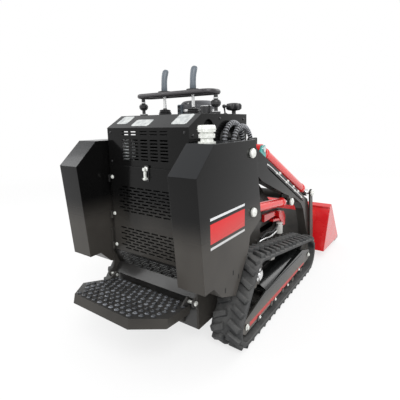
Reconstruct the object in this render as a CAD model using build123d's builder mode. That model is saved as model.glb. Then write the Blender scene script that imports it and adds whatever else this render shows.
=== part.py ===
from build123d import *
import os
from math import asin, atan2, cos, degrees, hypot, pi, radians, sin

# Mini skid steer loader: a stand-on machine on rubber tracks, with loader arms and a bucket.
# Millimetres. X runs forward, Y to the left and Z up. The origin is on the ground, on the
# machine's centre plane, half way between the platform's rear edge and the bucket's lip.

os.makedirs("parts", exist_ok=True)

# Clearances
SEAT = 0.3            # between pieces that rest on each other's curved faces
PLAY = 0.3            # round a pin in its bore, and a rod in its barrel
SIDE_GAP = 8.0        # beside an arm or a cylinder between the tower's plates

# Sheet and plate
SHEET = 3.0           # hood, covers
PLATE = 12.0          # towers, chassis sides, ears
FLOOR_T = 8.0

# Widths, each measured from the centre plane
HOOD_Y = 287.0
TANK_IN_Y = 317.0
TANK_OUT_Y = 467.0
TRACK_IN_Y = 339.0
TRACK_W = 180.0
TRACK_Y = TRACK_IN_Y + TRACK_W / 2
BUCKET_Y = 536.0
ARM_W = 62.0
TOWER_IN_Y = TANK_OUT_Y - PLATE - SIDE_GAP - ARM_W - SIDE_GAP
ARM_Y = TANK_OUT_Y - PLATE - SIDE_GAP - ARM_W / 2

# Tracks: wheel centres, and the radius of the lugs' tips round each wheel
LUG_H = 22.0
BELT_T = 22.0
LUG_PITCH = 72.0
LUG_L = 28.0
LUG_W = 78.0
LUG_SKEW = 14.0       # degrees that a lug is turned on the belt
LUG_PHASE = 0.25      # of a pitch, where the first lug lies after the rear idler's first point
# name, x, z, radius to the lug tips
TRACK_WHEELS = (
    ("rear idler", -661.0, 115.0, 115.0),
    ("front idler", 349.0, 148.0, 148.0),
    ("sprocket", -491.0, 330.0, 125.0),
)
WHEEL_W = 84.0
ROLLER_R = 42.0
ROLLER_XS = (-520.0, -340.0, -160.0, 20.0, 190.0)
AXLE_R = 14.0

# Chassis
REAR_X = -829.0
FLOOR_Z = 130.0
FRONT_X = 230.0
FRONT_TOP_Z = 500.0
SIDE_TOP_Z = 560.0

# Hood: rear face, sloped panel, flat top
HOOD_BASE_Z = 440.0
DOOR_TOP_Z = 940.0
HOOD_EDGE_Z = 1145.0
HOOD_SLOPE_X = -721.0
HOOD_TOP_Z = 1210.0
HOOD_FRONT_X = -260.0

# Side tanks
TANK_REAR_X = -1021.0
TANK_FRONT_X = -651.0
TANK_TOP_Z = 1075.0
TANK_BOTTOM_Z = 430.0

# Loader arm pins (x, z): arm pivot, lift cylinder base and rod, bucket, tilt base and rod
ARM_PIN = (-549.0, 1008.0)
LIFT_BASE = (-535.0, 696.0)
LIFT_EYE = (79.0, 618.0)
BUCKET_PIN = (545.0, 190.0)
TILT_BASE = (-350.0, 1012.0)
TILT_EYE = (495.0, 602.0)
PIN_R = 16.0
PIN_HEAD_R = 19.0
PIN_HEAD_T = 9.0
ARM_BOSS_R = 48.0

# Cylinders
LIFT_BARREL_R = 28.0
LIFT_ROD_R = 15.0
TILT_BARREL_R = 30.0
TILT_ROD_R = 14.0
EYE_R = 28.0
EYE_W = 34.0

# Platform
PLATFORM_REAR_X = -1170.0
PLATFORM_REAR_Z = 335.0
PLATFORM_FRONT_X = -830.0
PLATFORM_FRONT_Z = 257.0


def side_plane(y):
    """The plane at distance y to the left, seen from the right: X forward, Z up."""
    return Plane.XZ.offset(-y)


def loop_normals(wheels):
    """Angle of the outward normal of each straight run, from each wheel to the next."""
    angles = []
    for (_, x0, z0, r0), (_, x1, z1, r1) in zip(wheels, wheels[1:] + wheels[:1]):
        run = hypot(x1 - x0, z1 - z0)
        angles.append(atan2(z1 - z0, x1 - x0) - pi / 2 + asin((r0 - r1) / run))
    return angles


def loop_pieces(wheels, inset):
    """Arcs and straight runs of the track's loop, inset from the lug tips."""
    normals = loop_normals(wheels)
    pieces = []
    for i, (_, x, z, r) in enumerate(wheels):
        start, end = normals[i - 1], normals[i]
        while end < start:
            end += 2 * pi
        pieces.append(("arc", x, z, r - inset, start, end))
        _, next_x, next_z, next_r = wheels[(i + 1) % len(wheels)]
        tail = (x + (r - inset) * cos(end), z + (r - inset) * sin(end))
        head = (next_x + (next_r - inset) * cos(end), next_z + (next_r - inset) * sin(end))
        pieces.append(("run", tail, head, end))
    return pieces


def draw_loop(wheels, inset):
    """The closed outline of the loop, drawn in the active line builder."""
    for piece in loop_pieces(wheels, inset):
        if piece[0] == "arc":
            _, x, z, r, start, end = piece
            CenterArc((x, z), r, degrees(start), degrees(end - start))
        else:
            Line(piece[1], piece[2])


def loop_stations(wheels, inset, count, shift):
    """Evenly spaced places along the loop: x, z and the angle of the outward normal."""
    pieces = loop_pieces(wheels, inset)
    lengths = [
        p[3] * (p[5] - p[4]) if p[0] == "arc" else hypot(p[2][0] - p[1][0], p[2][1] - p[1][1])
        for p in pieces
    ]
    stations = []
    for i in range(count):
        along = (i + shift) * sum(lengths) / count
        for piece, length in zip(pieces, lengths):
            if along <= length:
                break
            along -= length
        if piece[0] == "arc":
            _, x, z, r, start, _ = piece
            angle = start + along / r
            stations.append((x + r * cos(angle), z + r * sin(angle), angle))
        else:
            _, (x0, z0), (x1, z1), angle = piece
            share = along / length
            stations.append((x0 + (x1 - x0) * share, z0 + (z1 - z0) * share, angle))
    return stations


def along(base, eye, y):
    """Plane at a cylinder's base pin, its Z towards the eye and its X across the machine."""
    return Plane(
        origin=(base[0], y, base[1]),
        x_dir=(0, 1, 0),
        z_dir=(eye[0] - base[0], 0, eye[1] - base[1]),
    )


def wheel_at(wheels, name):
    """Place and radius to the lug tips of the named wheel."""
    for wheel in wheels:
        if wheel[0] == name:
            return wheel[1:]


# Rubber track: belt with two rows of staggered slanted lugs
LOOP_LENGTH = sum(
    p[3] * (p[5] - p[4]) if p[0] == "arc" else hypot(p[2][0] - p[1][0], p[2][1] - p[1][1])
    for p in loop_pieces(TRACK_WHEELS, LUG_H)
)
LUG_COUNT = round(LOOP_LENGTH / LUG_PITCH)
LUG_SINK = 4.0
LUG_ROW_Y = 48.0
LUG_ROWS = ((1, 0.0), (-1, 0.5))   # side of the track's middle, shift in pitches

with BuildPart() as track_left:
    with BuildSketch(side_plane(TRACK_IN_Y + TRACK_W)):
        with BuildLine():
            draw_loop(TRACK_WHEELS, LUG_H)
        make_face()
        with BuildLine():
            draw_loop(TRACK_WHEELS, LUG_H + BELT_T)
        make_face(mode=Mode.SUBTRACT)
    extrude(amount=TRACK_W)
    for side, shift in LUG_ROWS:
        places = [
            Plane(
                origin=(x, TRACK_Y + side * LUG_ROW_Y, z),
                x_dir=(-sin(angle), 0, cos(angle)),
                z_dir=(cos(angle), 0, sin(angle)),
            )
            .offset((LUG_H - LUG_SINK) / 2)
            .rotated((0, 0, side * LUG_SKEW))
            for x, z, angle in loop_stations(TRACK_WHEELS, LUG_H, LUG_COUNT, shift + LUG_PHASE)
        ]
        with Locations(*places):
            Box(LUG_L, LUG_W, LUG_H + LUG_SINK)
track_left.part.label = "track_left"
export_step(track_left.part, "parts/track_left.step")

with BuildPart() as track_right:
    mirror(track_left.part, about=Plane.XZ)
track_right.part.label = "track_right"
export_step(track_right.part, "parts/track_right.step")

# Drive sprockets on the chassis sides: a hub and a rim inside the belt
SPROCKET_X, SPROCKET_Z, SPROCKET_TIP_R = wheel_at(TRACK_WHEELS, "sprocket")
SPROCKET_R = SPROCKET_TIP_R - LUG_H - BELT_T - SEAT
HUB_R = 46.0

with BuildPart() as sprockets:
    with BuildSketch(side_plane(TRACK_Y + WHEEL_W / 2)):
        with Locations((SPROCKET_X, SPROCKET_Z)):
            Circle(SPROCKET_R)
    extrude(amount=WHEEL_W)
    with BuildSketch(side_plane(TRACK_Y + WHEEL_W / 2 + 18)):
        with Locations((SPROCKET_X, SPROCKET_Z)):
            Circle(HUB_R)
    extrude(amount=TRACK_Y + WHEEL_W / 2 + 18 - TANK_IN_Y)
    mirror(about=Plane.XZ)
sprockets.part.label = "sprockets"
export_step(sprockets.part, "parts/sprockets.step")

# Track frames: an inverted channel on each side that carries the idlers and rollers
FRAME_IN_Y = 369.0
FRAME_OUT_Y = 498.0
FRAME_T = 10.0
FRAME_TOP_Z = 205.0
FRAME_BOTTOM_Z = 72.0
REAR_IDLER_X, REAR_IDLER_Z, REAR_IDLER_TIP_R = wheel_at(TRACK_WHEELS, "rear idler")
FRONT_IDLER_X, FRONT_IDLER_Z, FRONT_IDLER_TIP_R = wheel_at(TRACK_WHEELS, "front idler")
FRAME_END_R = 40.0
CROSS_TUBE_R = 34.0
CROSS_TUBES = ((-330.0, 165.0), (110.0, 165.0))

frame_outline = [
    (REAR_IDLER_X, REAR_IDLER_Z - FRAME_END_R),
    (FRONT_IDLER_X, FRONT_IDLER_Z - FRAME_END_R),
    (FRONT_IDLER_X, FRONT_IDLER_Z + FRAME_END_R),
    (FRONT_IDLER_X - 130, FRAME_TOP_Z + 22),
    (-420, FRAME_TOP_Z),
    (REAR_IDLER_X, REAR_IDLER_Z + FRAME_END_R),
]

with BuildPart() as track_frames:
    for outer_y in (FRAME_OUT_Y, FRAME_IN_Y + FRAME_T):
        with BuildSketch(side_plane(outer_y)):
            with BuildLine():
                Polyline(*frame_outline, close=True)
            make_face()
            with Locations((REAR_IDLER_X, REAR_IDLER_Z), (FRONT_IDLER_X, FRONT_IDLER_Z)):
                Circle(FRAME_END_R)
            with Locations((REAR_IDLER_X, REAR_IDLER_Z), (FRONT_IDLER_X, FRONT_IDLER_Z)):
                Circle(AXLE_R + SEAT, mode=Mode.SUBTRACT)
            with Locations(*[(x, LUG_H + BELT_T + ROLLER_R) for x in ROLLER_XS]):
                Circle(AXLE_R + SEAT, mode=Mode.SUBTRACT)
        extrude(amount=FRAME_T)
    with BuildSketch(side_plane(FRAME_OUT_Y)):
        with BuildLine():
            Polyline(
                (-420, FRAME_TOP_Z - FRAME_T),
                (-420, FRAME_TOP_Z),
                (FRONT_IDLER_X - 130, FRAME_TOP_Z + 22),
                (FRONT_IDLER_X - 130, FRAME_TOP_Z + 22 - FRAME_T),
                close=True,
            )
        make_face()
    extrude(amount=FRAME_OUT_Y - FRAME_IN_Y)
    with BuildSketch(side_plane(FRAME_IN_Y)):
        with Locations(*CROSS_TUBES):
            Circle(CROSS_TUBE_R)
    extrude(amount=FRAME_IN_Y - TANK_IN_Y)
    mirror(about=Plane.XZ)
track_frames.part.label = "track_frames"
export_step(track_frames.part, "parts/track_frames.step")

# Idlers at both ends of each track
with BuildPart() as idlers:
    for x, z, tip_r in (
        (REAR_IDLER_X, REAR_IDLER_Z, REAR_IDLER_TIP_R),
        (FRONT_IDLER_X, FRONT_IDLER_Z, FRONT_IDLER_TIP_R),
    ):
        with BuildSketch(side_plane(TRACK_Y + WHEEL_W / 2)):
            with Locations((x, z)):
                Circle(tip_r - LUG_H - BELT_T - SEAT)
        extrude(amount=WHEEL_W)
        with BuildSketch(side_plane(FRAME_OUT_Y + 4)):
            with Locations((x, z)):
                Circle(AXLE_R)
        extrude(amount=FRAME_OUT_Y + 4 - FRAME_IN_Y)
    mirror(about=Plane.XZ)
idlers.part.label = "idlers"
export_step(idlers.part, "parts/idlers.step")

# Bottom rollers under the frames
ROLLER_Z = LUG_H + BELT_T + ROLLER_R
with BuildPart() as rollers:
    with BuildSketch(side_plane(TRACK_Y + WHEEL_W / 2)):
        with Locations(*[(x, ROLLER_Z + SEAT) for x in ROLLER_XS]):
            Circle(ROLLER_R)
    extrude(amount=WHEEL_W)
    with BuildSketch(side_plane(FRAME_OUT_Y + 4)):
        with Locations(*[(x, ROLLER_Z) for x in ROLLER_XS]):
            Circle(AXLE_R)
    extrude(amount=FRAME_OUT_Y + 4 - FRAME_IN_Y)
    mirror(about=Plane.XZ)
rollers.part.label = "rollers"
export_step(rollers.part, "parts/rollers.step")

# Chassis floor with two rails that carry the engine
ENGINE_X0 = -600.0
ENGINE_X1 = -280.0
ENGINE_Z = 260.0
ENGINE_TOP_Z = 900.0
ENGINE_Y = 210.0
CHASSIS_IN_Y = TANK_IN_Y - PLATE

with BuildPart() as chassis_floor:
    with BuildSketch(Plane.XY.offset(FLOOR_Z)):
        with Locations(((REAR_X + FRONT_X) / 2, 0)):
            Rectangle(FRONT_X - REAR_X - 2 * PLATE, 2 * CHASSIS_IN_Y)
    extrude(amount=FLOOR_T)
    with BuildSketch(Plane.XY.offset(FLOOR_Z + FLOOR_T)):
        with Locations(
            ((ENGINE_X0 + ENGINE_X1) / 2, ENGINE_Y - 40),
            ((ENGINE_X0 + ENGINE_X1) / 2, 40 - ENGINE_Y),
        ):
            Rectangle(ENGINE_X1 - ENGINE_X0, 50)
    extrude(amount=ENGINE_Z - FLOOR_Z - FLOOR_T)
chassis_floor.part.label = "chassis_floor"
export_step(chassis_floor.part, "parts/chassis_floor.step")

# Engine: one plain block
with BuildPart() as engine:
    with BuildSketch(Plane.XY.offset(ENGINE_Z)):
        with Locations(((ENGINE_X0 + ENGINE_X1) / 2, 0)):
            Rectangle(ENGINE_X1 - ENGINE_X0, 2 * ENGINE_Y)
    extrude(amount=ENGINE_TOP_Z - ENGINE_Z)
engine.part.label = "engine"
export_step(engine.part, "parts/engine.step")

# Chassis side plates, with an oval opening ahead of the tower
OVAL_X = 0.0
OVAL_Z = 455.0
OVAL_L = 250.0
OVAL_H = 80.0
LEDGE_Y = HOOD_Y - 20.0

with BuildPart() as chassis_sides:
    with BuildSketch(side_plane(TANK_IN_Y)):
        with BuildLine():
            Polyline(
                (REAR_X, FLOOR_Z),
                (FRONT_X, FLOOR_Z),
                (FRONT_X, FRONT_TOP_Z),
                (FRONT_X - 120, SIDE_TOP_Z),
                (REAR_X, SIDE_TOP_Z),
                close=True,
            )
        make_face()
        with Locations((OVAL_X, OVAL_Z)):
            SlotOverall(OVAL_L, OVAL_H, mode=Mode.SUBTRACT)
    extrude(amount=PLATE)
    with BuildSketch(side_plane(CHASSIS_IN_Y)):
        with BuildLine():
            Polyline(
                (REAR_X + 20, HOOD_BASE_Z - 8),
                (HOOD_FRONT_X, HOOD_BASE_Z - 8),
                (HOOD_FRONT_X, HOOD_BASE_Z),
                (REAR_X + 20, HOOD_BASE_Z),
                close=True,
            )
        make_face()
    extrude(amount=CHASSIS_IN_Y - LEDGE_Y)
    mirror(about=Plane.XZ)
chassis_sides.part.label = "chassis_sides"
export_step(chassis_sides.part, "parts/chassis_sides.step")

# Front plate with two tie-down holes, and the rear plate under the door
TIE_R = 14.0
TIE_Y = 180.0
TIE_Z = 464.0

with BuildPart() as front_plate:
    with BuildSketch(Plane.YZ.offset(FRONT_X - PLATE)):
        with Locations((0, (FLOOR_Z + FRONT_TOP_Z) / 2)):
            Rectangle(2 * CHASSIS_IN_Y, FRONT_TOP_Z - FLOOR_Z)
        with Locations((TIE_Y, TIE_Z), (-TIE_Y, TIE_Z)):
            Circle(TIE_R, mode=Mode.SUBTRACT)
    extrude(amount=PLATE)
front_plate.part.label = "front_plate"
export_step(front_plate.part, "parts/front_plate.step")

with BuildPart() as rear_plate:
    with BuildSketch(side_plane(CHASSIS_IN_Y)):
        with BuildLine():
            Polyline(
                (REAR_X, FLOOR_Z),
                (REAR_X + PLATE, FLOOR_Z),
                (REAR_X + PLATE, 290),
                (REAR_X + PLATE + 40, 340),
                (REAR_X + PLATE, HOOD_BASE_Z - 6),
                (REAR_X, HOOD_BASE_Z - 6),
                (REAR_X + 40, 340),
                (REAR_X, 290),
                close=True,
            )
        make_face()
    extrude(amount=2 * CHASSIS_IN_Y)
rear_plate.part.label = "rear_plate"
export_step(rear_plate.part, "parts/rear_plate.step")

# Hood: a sheet shell, open below, with slots in its rear face and an arch in each side
LATTICE_COLUMNS = 5
LATTICE_ROWS = 7
LATTICE_Y0 = 180.0
LATTICE_Y1 = -165.0
LATTICE_Z0 = 970.0
LATTICE_Z1 = 1088.0
LATTICE_BAR = 9.0
LOUVRE_ZS = (1109.0, 1124.0)
ARCH_X = -666.0
ARCH_R = 45.0
ARCH_TOP_Z = 1182.0
ARCH_BOTTOM_Z = 1045.0

lattice_pitch_y = (LATTICE_Y0 - LATTICE_Y1) / LATTICE_COLUMNS
lattice_pitch_z = (LATTICE_Z1 - LATTICE_Z0) / LATTICE_ROWS

with BuildPart() as hood:
    with BuildSketch(side_plane(HOOD_Y)):
        with BuildLine():
            Polyline(
                (REAR_X, HOOD_BASE_Z),
                (HOOD_FRONT_X, HOOD_BASE_Z),
                (HOOD_FRONT_X, HOOD_TOP_Z),
                (HOOD_SLOPE_X, HOOD_TOP_Z),
                (REAR_X, HOOD_EDGE_Z),
                close=True,
            )
        make_face()
    extrude(amount=2 * HOOD_Y)
    hood_base = hood.faces().sort_by(Axis.Z)[0]
    offset(amount=-SHEET, openings=hood_base)
    with BuildSketch(Plane.YZ.offset(REAR_X)):
        with Locations((0, (HOOD_BASE_Z + DOOR_TOP_Z) / 2)):
            Rectangle(2 * (HOOD_Y - SHEET), DOOR_TOP_Z - HOOD_BASE_Z)
        with Locations(((LATTICE_Y0 + LATTICE_Y1) / 2, (LATTICE_Z0 + LATTICE_Z1) / 2)):
            with GridLocations(lattice_pitch_y, lattice_pitch_z, LATTICE_COLUMNS, LATTICE_ROWS):
                Rectangle(lattice_pitch_y - 2 * LATTICE_BAR, lattice_pitch_z - LATTICE_BAR)
        for louvre_z in LOUVRE_ZS:
            with Locations(((LATTICE_Y0 + LATTICE_Y1) / 2, louvre_z)):
                with GridLocations(lattice_pitch_y, 0, LATTICE_COLUMNS, 1):
                    Rectangle(lattice_pitch_y - 2 * LATTICE_BAR, 5)
    extrude(amount=SHEET * 2, mode=Mode.SUBTRACT)
    with BuildSketch(side_plane(HOOD_Y)):
        with Locations((ARCH_X, (ARCH_BOTTOM_Z + ARCH_TOP_Z - ARCH_R) / 2)):
            Rectangle(2 * ARCH_R, ARCH_TOP_Z - ARCH_R - ARCH_BOTTOM_Z)
        with Locations((ARCH_X, ARCH_TOP_Z - ARCH_R)):
            Circle(ARCH_R)
    extrude(amount=2 * HOOD_Y, mode=Mode.SUBTRACT)
hood.part.label = "hood"
export_step(hood.part, "parts/hood.step")

# Front cover: slopes from the hood's front down to the front plate
with BuildPart() as front_cover:
    with BuildSketch(side_plane(HOOD_Y)):
        with BuildLine():
            Polyline(
                (HOOD_FRONT_X, HOOD_BASE_Z),
                (FRONT_X - PLATE, HOOD_BASE_Z),
                (FRONT_X - PLATE, FRONT_TOP_Z),
                (-20, 700),
                (HOOD_FRONT_X, 900),
                close=True,
            )
        make_face()
    extrude(amount=2 * HOOD_Y)
    cover_base = front_cover.faces().sort_by(Axis.Z)[0]
    offset(amount=-SHEET, openings=cover_base)
    with BuildSketch(Plane.YZ.offset(FRONT_X - PLATE)):
        with Locations((TIE_Y, TIE_Z), (-TIE_Y, TIE_Z)):
            Circle(TIE_R)
    extrude(amount=-2 * SHEET, mode=Mode.SUBTRACT)
front_cover.part.label = "front_cover"
export_step(front_cover.part, "parts/front_cover.step")

# Side tanks, each with the tower's outer plate as its skin
tank_outline = [
    (TANK_REAR_X, 947),
    (-888, TANK_TOP_Z),
    (TANK_FRONT_X, TANK_TOP_Z),
    (TANK_FRONT_X, 398),
    (-714, 306),
    (-843, 359),
    (-911, TANK_BOTTOM_Z),
    (-980, TANK_BOTTOM_Z),
]
skin_outline = [
    (TANK_FRONT_X, TANK_TOP_Z),
    (-498, TANK_TOP_Z),
    (-427, 634),
    (-557, 574),
    (-578, 504),
    (TANK_FRONT_X, 398),
]
for side, name in ((1, "side_tank_left"), (-1, "side_tank_right")):
    with BuildPart() as side_tank:
        with BuildSketch(side_plane(TANK_OUT_Y)):
            with BuildLine():
                Polyline(*tank_outline, close=True)
            make_face()
        extrude(amount=TANK_OUT_Y - TANK_IN_Y)
        with BuildSketch(side_plane(TANK_OUT_Y)):
            with BuildLine():
                Polyline(*skin_outline, close=True)
            make_face()
            with Locations(ARM_PIN, LIFT_BASE):
                Circle(PIN_R + PLAY, mode=Mode.SUBTRACT)
        extrude(amount=PLATE)
    if side < 0:
        with BuildPart() as mirrored_tank:
            mirror(side_tank.part, about=Plane.XZ)
        side_tank = mirrored_tank
    side_tank.part.label = name
    export_step(side_tank.part, f"parts/{name}.step")

# Filler cap on the right tank
CAP_X = -835.0
CAP_Y = -392.0
with BuildPart() as filler_cap:
    with BuildSketch(Plane.XY.offset(TANK_TOP_Z)):
        with Locations((CAP_X, CAP_Y)):
            Circle(37)
    extrude(amount=45)
    with BuildSketch(Plane.XY.offset(TANK_TOP_Z + 45)):
        with Locations((CAP_X, CAP_Y)):
            Circle(40)
    extrude(amount=35)
filler_cap.part.label = "filler_cap"
export_step(filler_cap.part, "parts/filler_cap.step")

# Towers: the inner plate beside each arm, joined to the chassis side by webs
FOOT_Z = SIDE_TOP_Z
with BuildPart() as towers:
    with BuildSketch(side_plane(TOWER_IN_Y)):
        with BuildLine():
            Polyline(
                (TANK_FRONT_X, TANK_TOP_Z),
                (-498, TANK_TOP_Z),
                (-427, 634),
                (-440, FOOT_Z),
                (TANK_FRONT_X, FOOT_Z),
                close=True,
            )
        make_face()
        with Locations(ARM_PIN, LIFT_BASE):
            Circle(PIN_R + PLAY, mode=Mode.SUBTRACT)
    extrude(amount=PLATE)
    with BuildSketch(side_plane(TOWER_IN_Y - PLATE)):
        with BuildLine():
            Polyline(
                (TANK_FRONT_X, FOOT_Z),
                (-440, FOOT_Z),
                (-440, FOOT_Z + PLATE),
                (TANK_FRONT_X + PLATE, FOOT_Z + PLATE),
                (TANK_FRONT_X + PLATE, TANK_TOP_Z - 30),
                (TANK_FRONT_X, TANK_TOP_Z - 30),
                close=True,
            )
        make_face()
    extrude(amount=TOWER_IN_Y - PLATE - CHASSIS_IN_Y)
    mirror(about=Plane.XZ)
towers.part.label = "towers"
export_step(towers.part, "parts/towers.step")

# Tower pins: arm pivots and lift cylinder bases, heads on the outer plates
with BuildPart() as tower_pins:
    for pin in (ARM_PIN, LIFT_BASE):
        with BuildSketch(side_plane(TANK_OUT_Y + PIN_HEAD_T)):
            with Locations(pin):
                Circle(PIN_HEAD_R)
        extrude(amount=PIN_HEAD_T)
        with BuildSketch(side_plane(TANK_OUT_Y)):
            with Locations(pin):
                Circle(PIN_R)
        extrude(amount=TANK_OUT_Y - TOWER_IN_Y + PLATE)
    mirror(about=Plane.XZ)
tower_pins.part.label = "tower_pins"
export_step(tower_pins.part, "parts/tower_pins.step")

# Loader arms: a box beam on each side with a leg down to the bucket pin
arm_outline = [
    (ARM_PIN[0] + 30, ARM_PIN[1] + ARM_BOSS_R - 10),
    (-470, 1036),
    (400, 586),
    (462, 560),
    (500, 490),
    (582, 205),
    (BUCKET_PIN[0], BUCKET_PIN[1]),
    (508, 205),
    (492, 240),
    (365, 500),
    (300, 560),
    (170, 626),
    (-19, 690),
    (-377, 835),
    (ARM_PIN[0] - 10, ARM_PIN[1] - ARM_BOSS_R),
]
LEG_BOSS_R = 38.0
CROSS_PIPE = (250.0, 622.0)
CROSS_PIPE_R = 34.0

LUG_T = 12.0
LIFT_LUG = [
    (48.0, 672.0),
    (LIFT_EYE[0] - 20, LIFT_EYE[1] - 20),
    (LIFT_EYE[0] + 20, LIFT_EYE[1] - 20),
    (150.0, 640.0),
]

with BuildPart() as arms:
    with BuildSketch(side_plane(ARM_Y + ARM_W / 2)):
        with BuildLine():
            Polyline(*arm_outline, close=True)
        make_face()
        with Locations(ARM_PIN):
            Circle(ARM_BOSS_R)
        with Locations(BUCKET_PIN):
            Circle(LEG_BOSS_R)
        with Locations(ARM_PIN, BUCKET_PIN):
            Circle(PIN_R + PLAY, mode=Mode.SUBTRACT)
    extrude(amount=ARM_W)
    for outer_y in (ARM_Y + ARM_W / 2, ARM_Y - ARM_W / 2 + LUG_T):
        with BuildSketch(side_plane(outer_y)):
            with BuildLine():
                Polyline(*LIFT_LUG, close=True)
            make_face()
        extrude(amount=LUG_T)
    with BuildSketch(side_plane(ARM_Y + ARM_W / 2 + PIN_HEAD_T)):
        with Locations(LIFT_EYE):
            Circle(PIN_R)
    extrude(amount=PIN_HEAD_T)
    mirror(about=Plane.XZ)
arms.part.label = "arms"
export_step(arms.part, "parts/arms.step")

# Cross pipe between the arms
with BuildPart() as arm_cross_pipe:
    with BuildSketch(side_plane(ARM_Y - ARM_W / 2)):
        with Locations(CROSS_PIPE):
            Circle(CROSS_PIPE_R)
    extrude(amount=2 * ARM_Y - ARM_W)
arm_cross_pipe.part.label = "arm_cross_pipe"
export_step(arm_cross_pipe.part, "parts/arm_cross_pipe.step")


def arm_top_z(x):
    """Height of the arm's top face at x."""
    (x0, z0), (x1, z1) = arm_outline[1:3]
    return z0 + (z1 - z0) * (x - x0) / (x1 - x0)


# Brackets on top of the arms for the tilt cylinders
BRACKET_T = 10.0
BRACKET_GAP = 1.0
with BuildPart() as tilt_brackets:
    for outer_y in (ARM_Y + EYE_W / 2 + BRACKET_GAP + BRACKET_T, ARM_Y - EYE_W / 2 - BRACKET_GAP):
        with BuildSketch(side_plane(outer_y)):
            with BuildLine():
                Polyline(
                    (-395, arm_top_z(-395)),
                    (-372, 1034),
                    (-332, 1034),
                    (-325, 1000),
                    (-322, arm_top_z(-322)),
                    close=True,
                )
            make_face()
            with Locations(TILT_BASE):
                Circle(PIN_R + PLAY, mode=Mode.SUBTRACT)
        extrude(amount=BRACKET_T)
    mirror(about=Plane.XZ)
tilt_brackets.part.label = "tilt_brackets"
export_step(tilt_brackets.part, "parts/tilt_brackets.step")

with BuildPart() as tilt_pins:
    with BuildSketch(side_plane(ARM_Y + 35)):
        with Locations(TILT_BASE):
            Circle(PIN_R)
    extrude(amount=70)
    mirror(about=Plane.XZ)
tilt_pins.part.label = "tilt_pins"
export_step(tilt_pins.part, "parts/tilt_pins.step")

# Cylinders. name, base, rod eye, barrel radius, rod radius, where the barrel starts and ends,
# where the rod starts, eye radius at the rod. The bore starts BARREL_CAP inside the barrel.
BARREL_CAP = 16.0
CYLINDERS = (
    ("lift", LIFT_BASE, LIFT_EYE, LIFT_BARREL_R, LIFT_ROD_R, 42.0, 545.0, 170.0, 24.0),
    ("tilt", TILT_BASE, TILT_EYE, TILT_BARREL_R, TILT_ROD_R, 42.0, 826.0, 330.0, EYE_R),
)
STUB_R = 12.0
STUB_W = {"lift": ARM_W - 2 * LUG_T - 1.0, "tilt": ARM_W + 2 * SIDE_GAP - 2.0}

for name, base, eye, barrel_r, rod_r, barrel_start, barrel_end, rod_start, rod_eye_r in CYLINDERS:
    line = along(base, eye, ARM_Y)
    length = hypot(eye[0] - base[0], eye[1] - base[1])
    with BuildPart() as barrel:
        with BuildSketch(side_plane(ARM_Y + EYE_W / 2)):
            with Locations(base):
                Circle(EYE_R)
        extrude(amount=EYE_W)
        with BuildSketch(line):
            Circle(barrel_r * 0.5)
        extrude(amount=barrel_start)
        with BuildSketch(line.offset(barrel_start)):
            Circle(barrel_r)
        extrude(amount=barrel_end - barrel_start)
        with BuildSketch(side_plane(ARM_Y + EYE_W / 2)):
            with Locations(base):
                Circle(PIN_R + PLAY)
        extrude(amount=EYE_W, mode=Mode.SUBTRACT)
        with BuildSketch(line.offset(barrel_start + BARREL_CAP)):
            Circle(rod_r + PLAY)
        extrude(amount=length, mode=Mode.SUBTRACT)
        mirror(about=Plane.XZ)
    barrel.part.label = name + "_barrels"
    export_step(barrel.part, f"parts/{name}_barrels.step")

    with BuildPart() as rod:
        with BuildSketch(line.offset(rod_start)):
            Circle(rod_r)
        extrude(amount=length - rod_start)
        with BuildSketch(side_plane(ARM_Y + EYE_W / 2)):
            with Locations(eye):
                Circle(rod_eye_r)
        extrude(amount=EYE_W)
        with BuildSketch(side_plane(ARM_Y + STUB_W[name] / 2)):
            with Locations(eye):
                Circle(STUB_R)
        extrude(amount=STUB_W[name])
        mirror(about=Plane.XZ)
    rod.part.label = name + "_rods"
    export_step(rod.part, f"parts/{name}_rods.step")

# Bucket: back, bottom and side plates, open to the front
BUCKET_REAR = (669.0, 66.0)
BUCKET_LIP = (1180.0, 42.0)
BUCKET_TOP_REAR = (825.0, 404.0)
BUCKET_TOP_FRONT = (880.0, 420.0)
BUCKET_T = 8.0

with BuildPart() as bucket:
    with BuildSketch(side_plane(BUCKET_Y)):
        with BuildLine():
            Polyline(BUCKET_REAR, BUCKET_LIP, BUCKET_TOP_FRONT, BUCKET_TOP_REAR, close=True)
        make_face()
    extrude(amount=2 * BUCKET_Y)
    mouth = bucket.faces().sort_by(Axis.X)[-1]
    offset(amount=-BUCKET_T, openings=mouth)
bucket.part.label = "bucket"
export_step(bucket.part, "parts/bucket.step")

# Attach frame: a leaning plate on the bucket's back, an ear inside and a link outside each arm
back_run = hypot(BUCKET_TOP_REAR[0] - BUCKET_REAR[0], BUCKET_TOP_REAR[1] - BUCKET_REAR[1])
BACK_X = (BUCKET_TOP_REAR[0] - BUCKET_REAR[0]) / back_run
BACK_Z = (BUCKET_TOP_REAR[1] - BUCKET_REAR[1]) / back_run
ATTACH_T = 16.0


def on_back(up, out):
    """Point up the bucket's back by one distance and out behind it by another."""
    return (
        BUCKET_REAR[0] + up * BACK_X - out * BACK_Z,
        BUCKET_REAR[1] + up * BACK_Z + out * BACK_X,
    )


EAR_IN_Y = TOWER_IN_Y
LINK_R = 30.0
ear_outline = [
    (TILT_EYE[0] - LINK_R, TILT_EYE[1]),
    (TILT_EYE[0] + LINK_R, TILT_EYE[1]),
    on_back(290, ATTACH_T),
    on_back(40, ATTACH_T),
    (BUCKET_PIN[0] + 10, BUCKET_PIN[1] - 34),
    (BUCKET_PIN[0] - 34, BUCKET_PIN[1]),
]
link_outline = [
    (TILT_EYE[0] - LINK_R, TILT_EYE[1] - 3),
    (TILT_EYE[0] + LINK_R, TILT_EYE[1] + 3),
    (BUCKET_PIN[0] + 34, BUCKET_PIN[1] + 3),
    (BUCKET_PIN[0] - 34, BUCKET_PIN[1] - 3),
]

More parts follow.
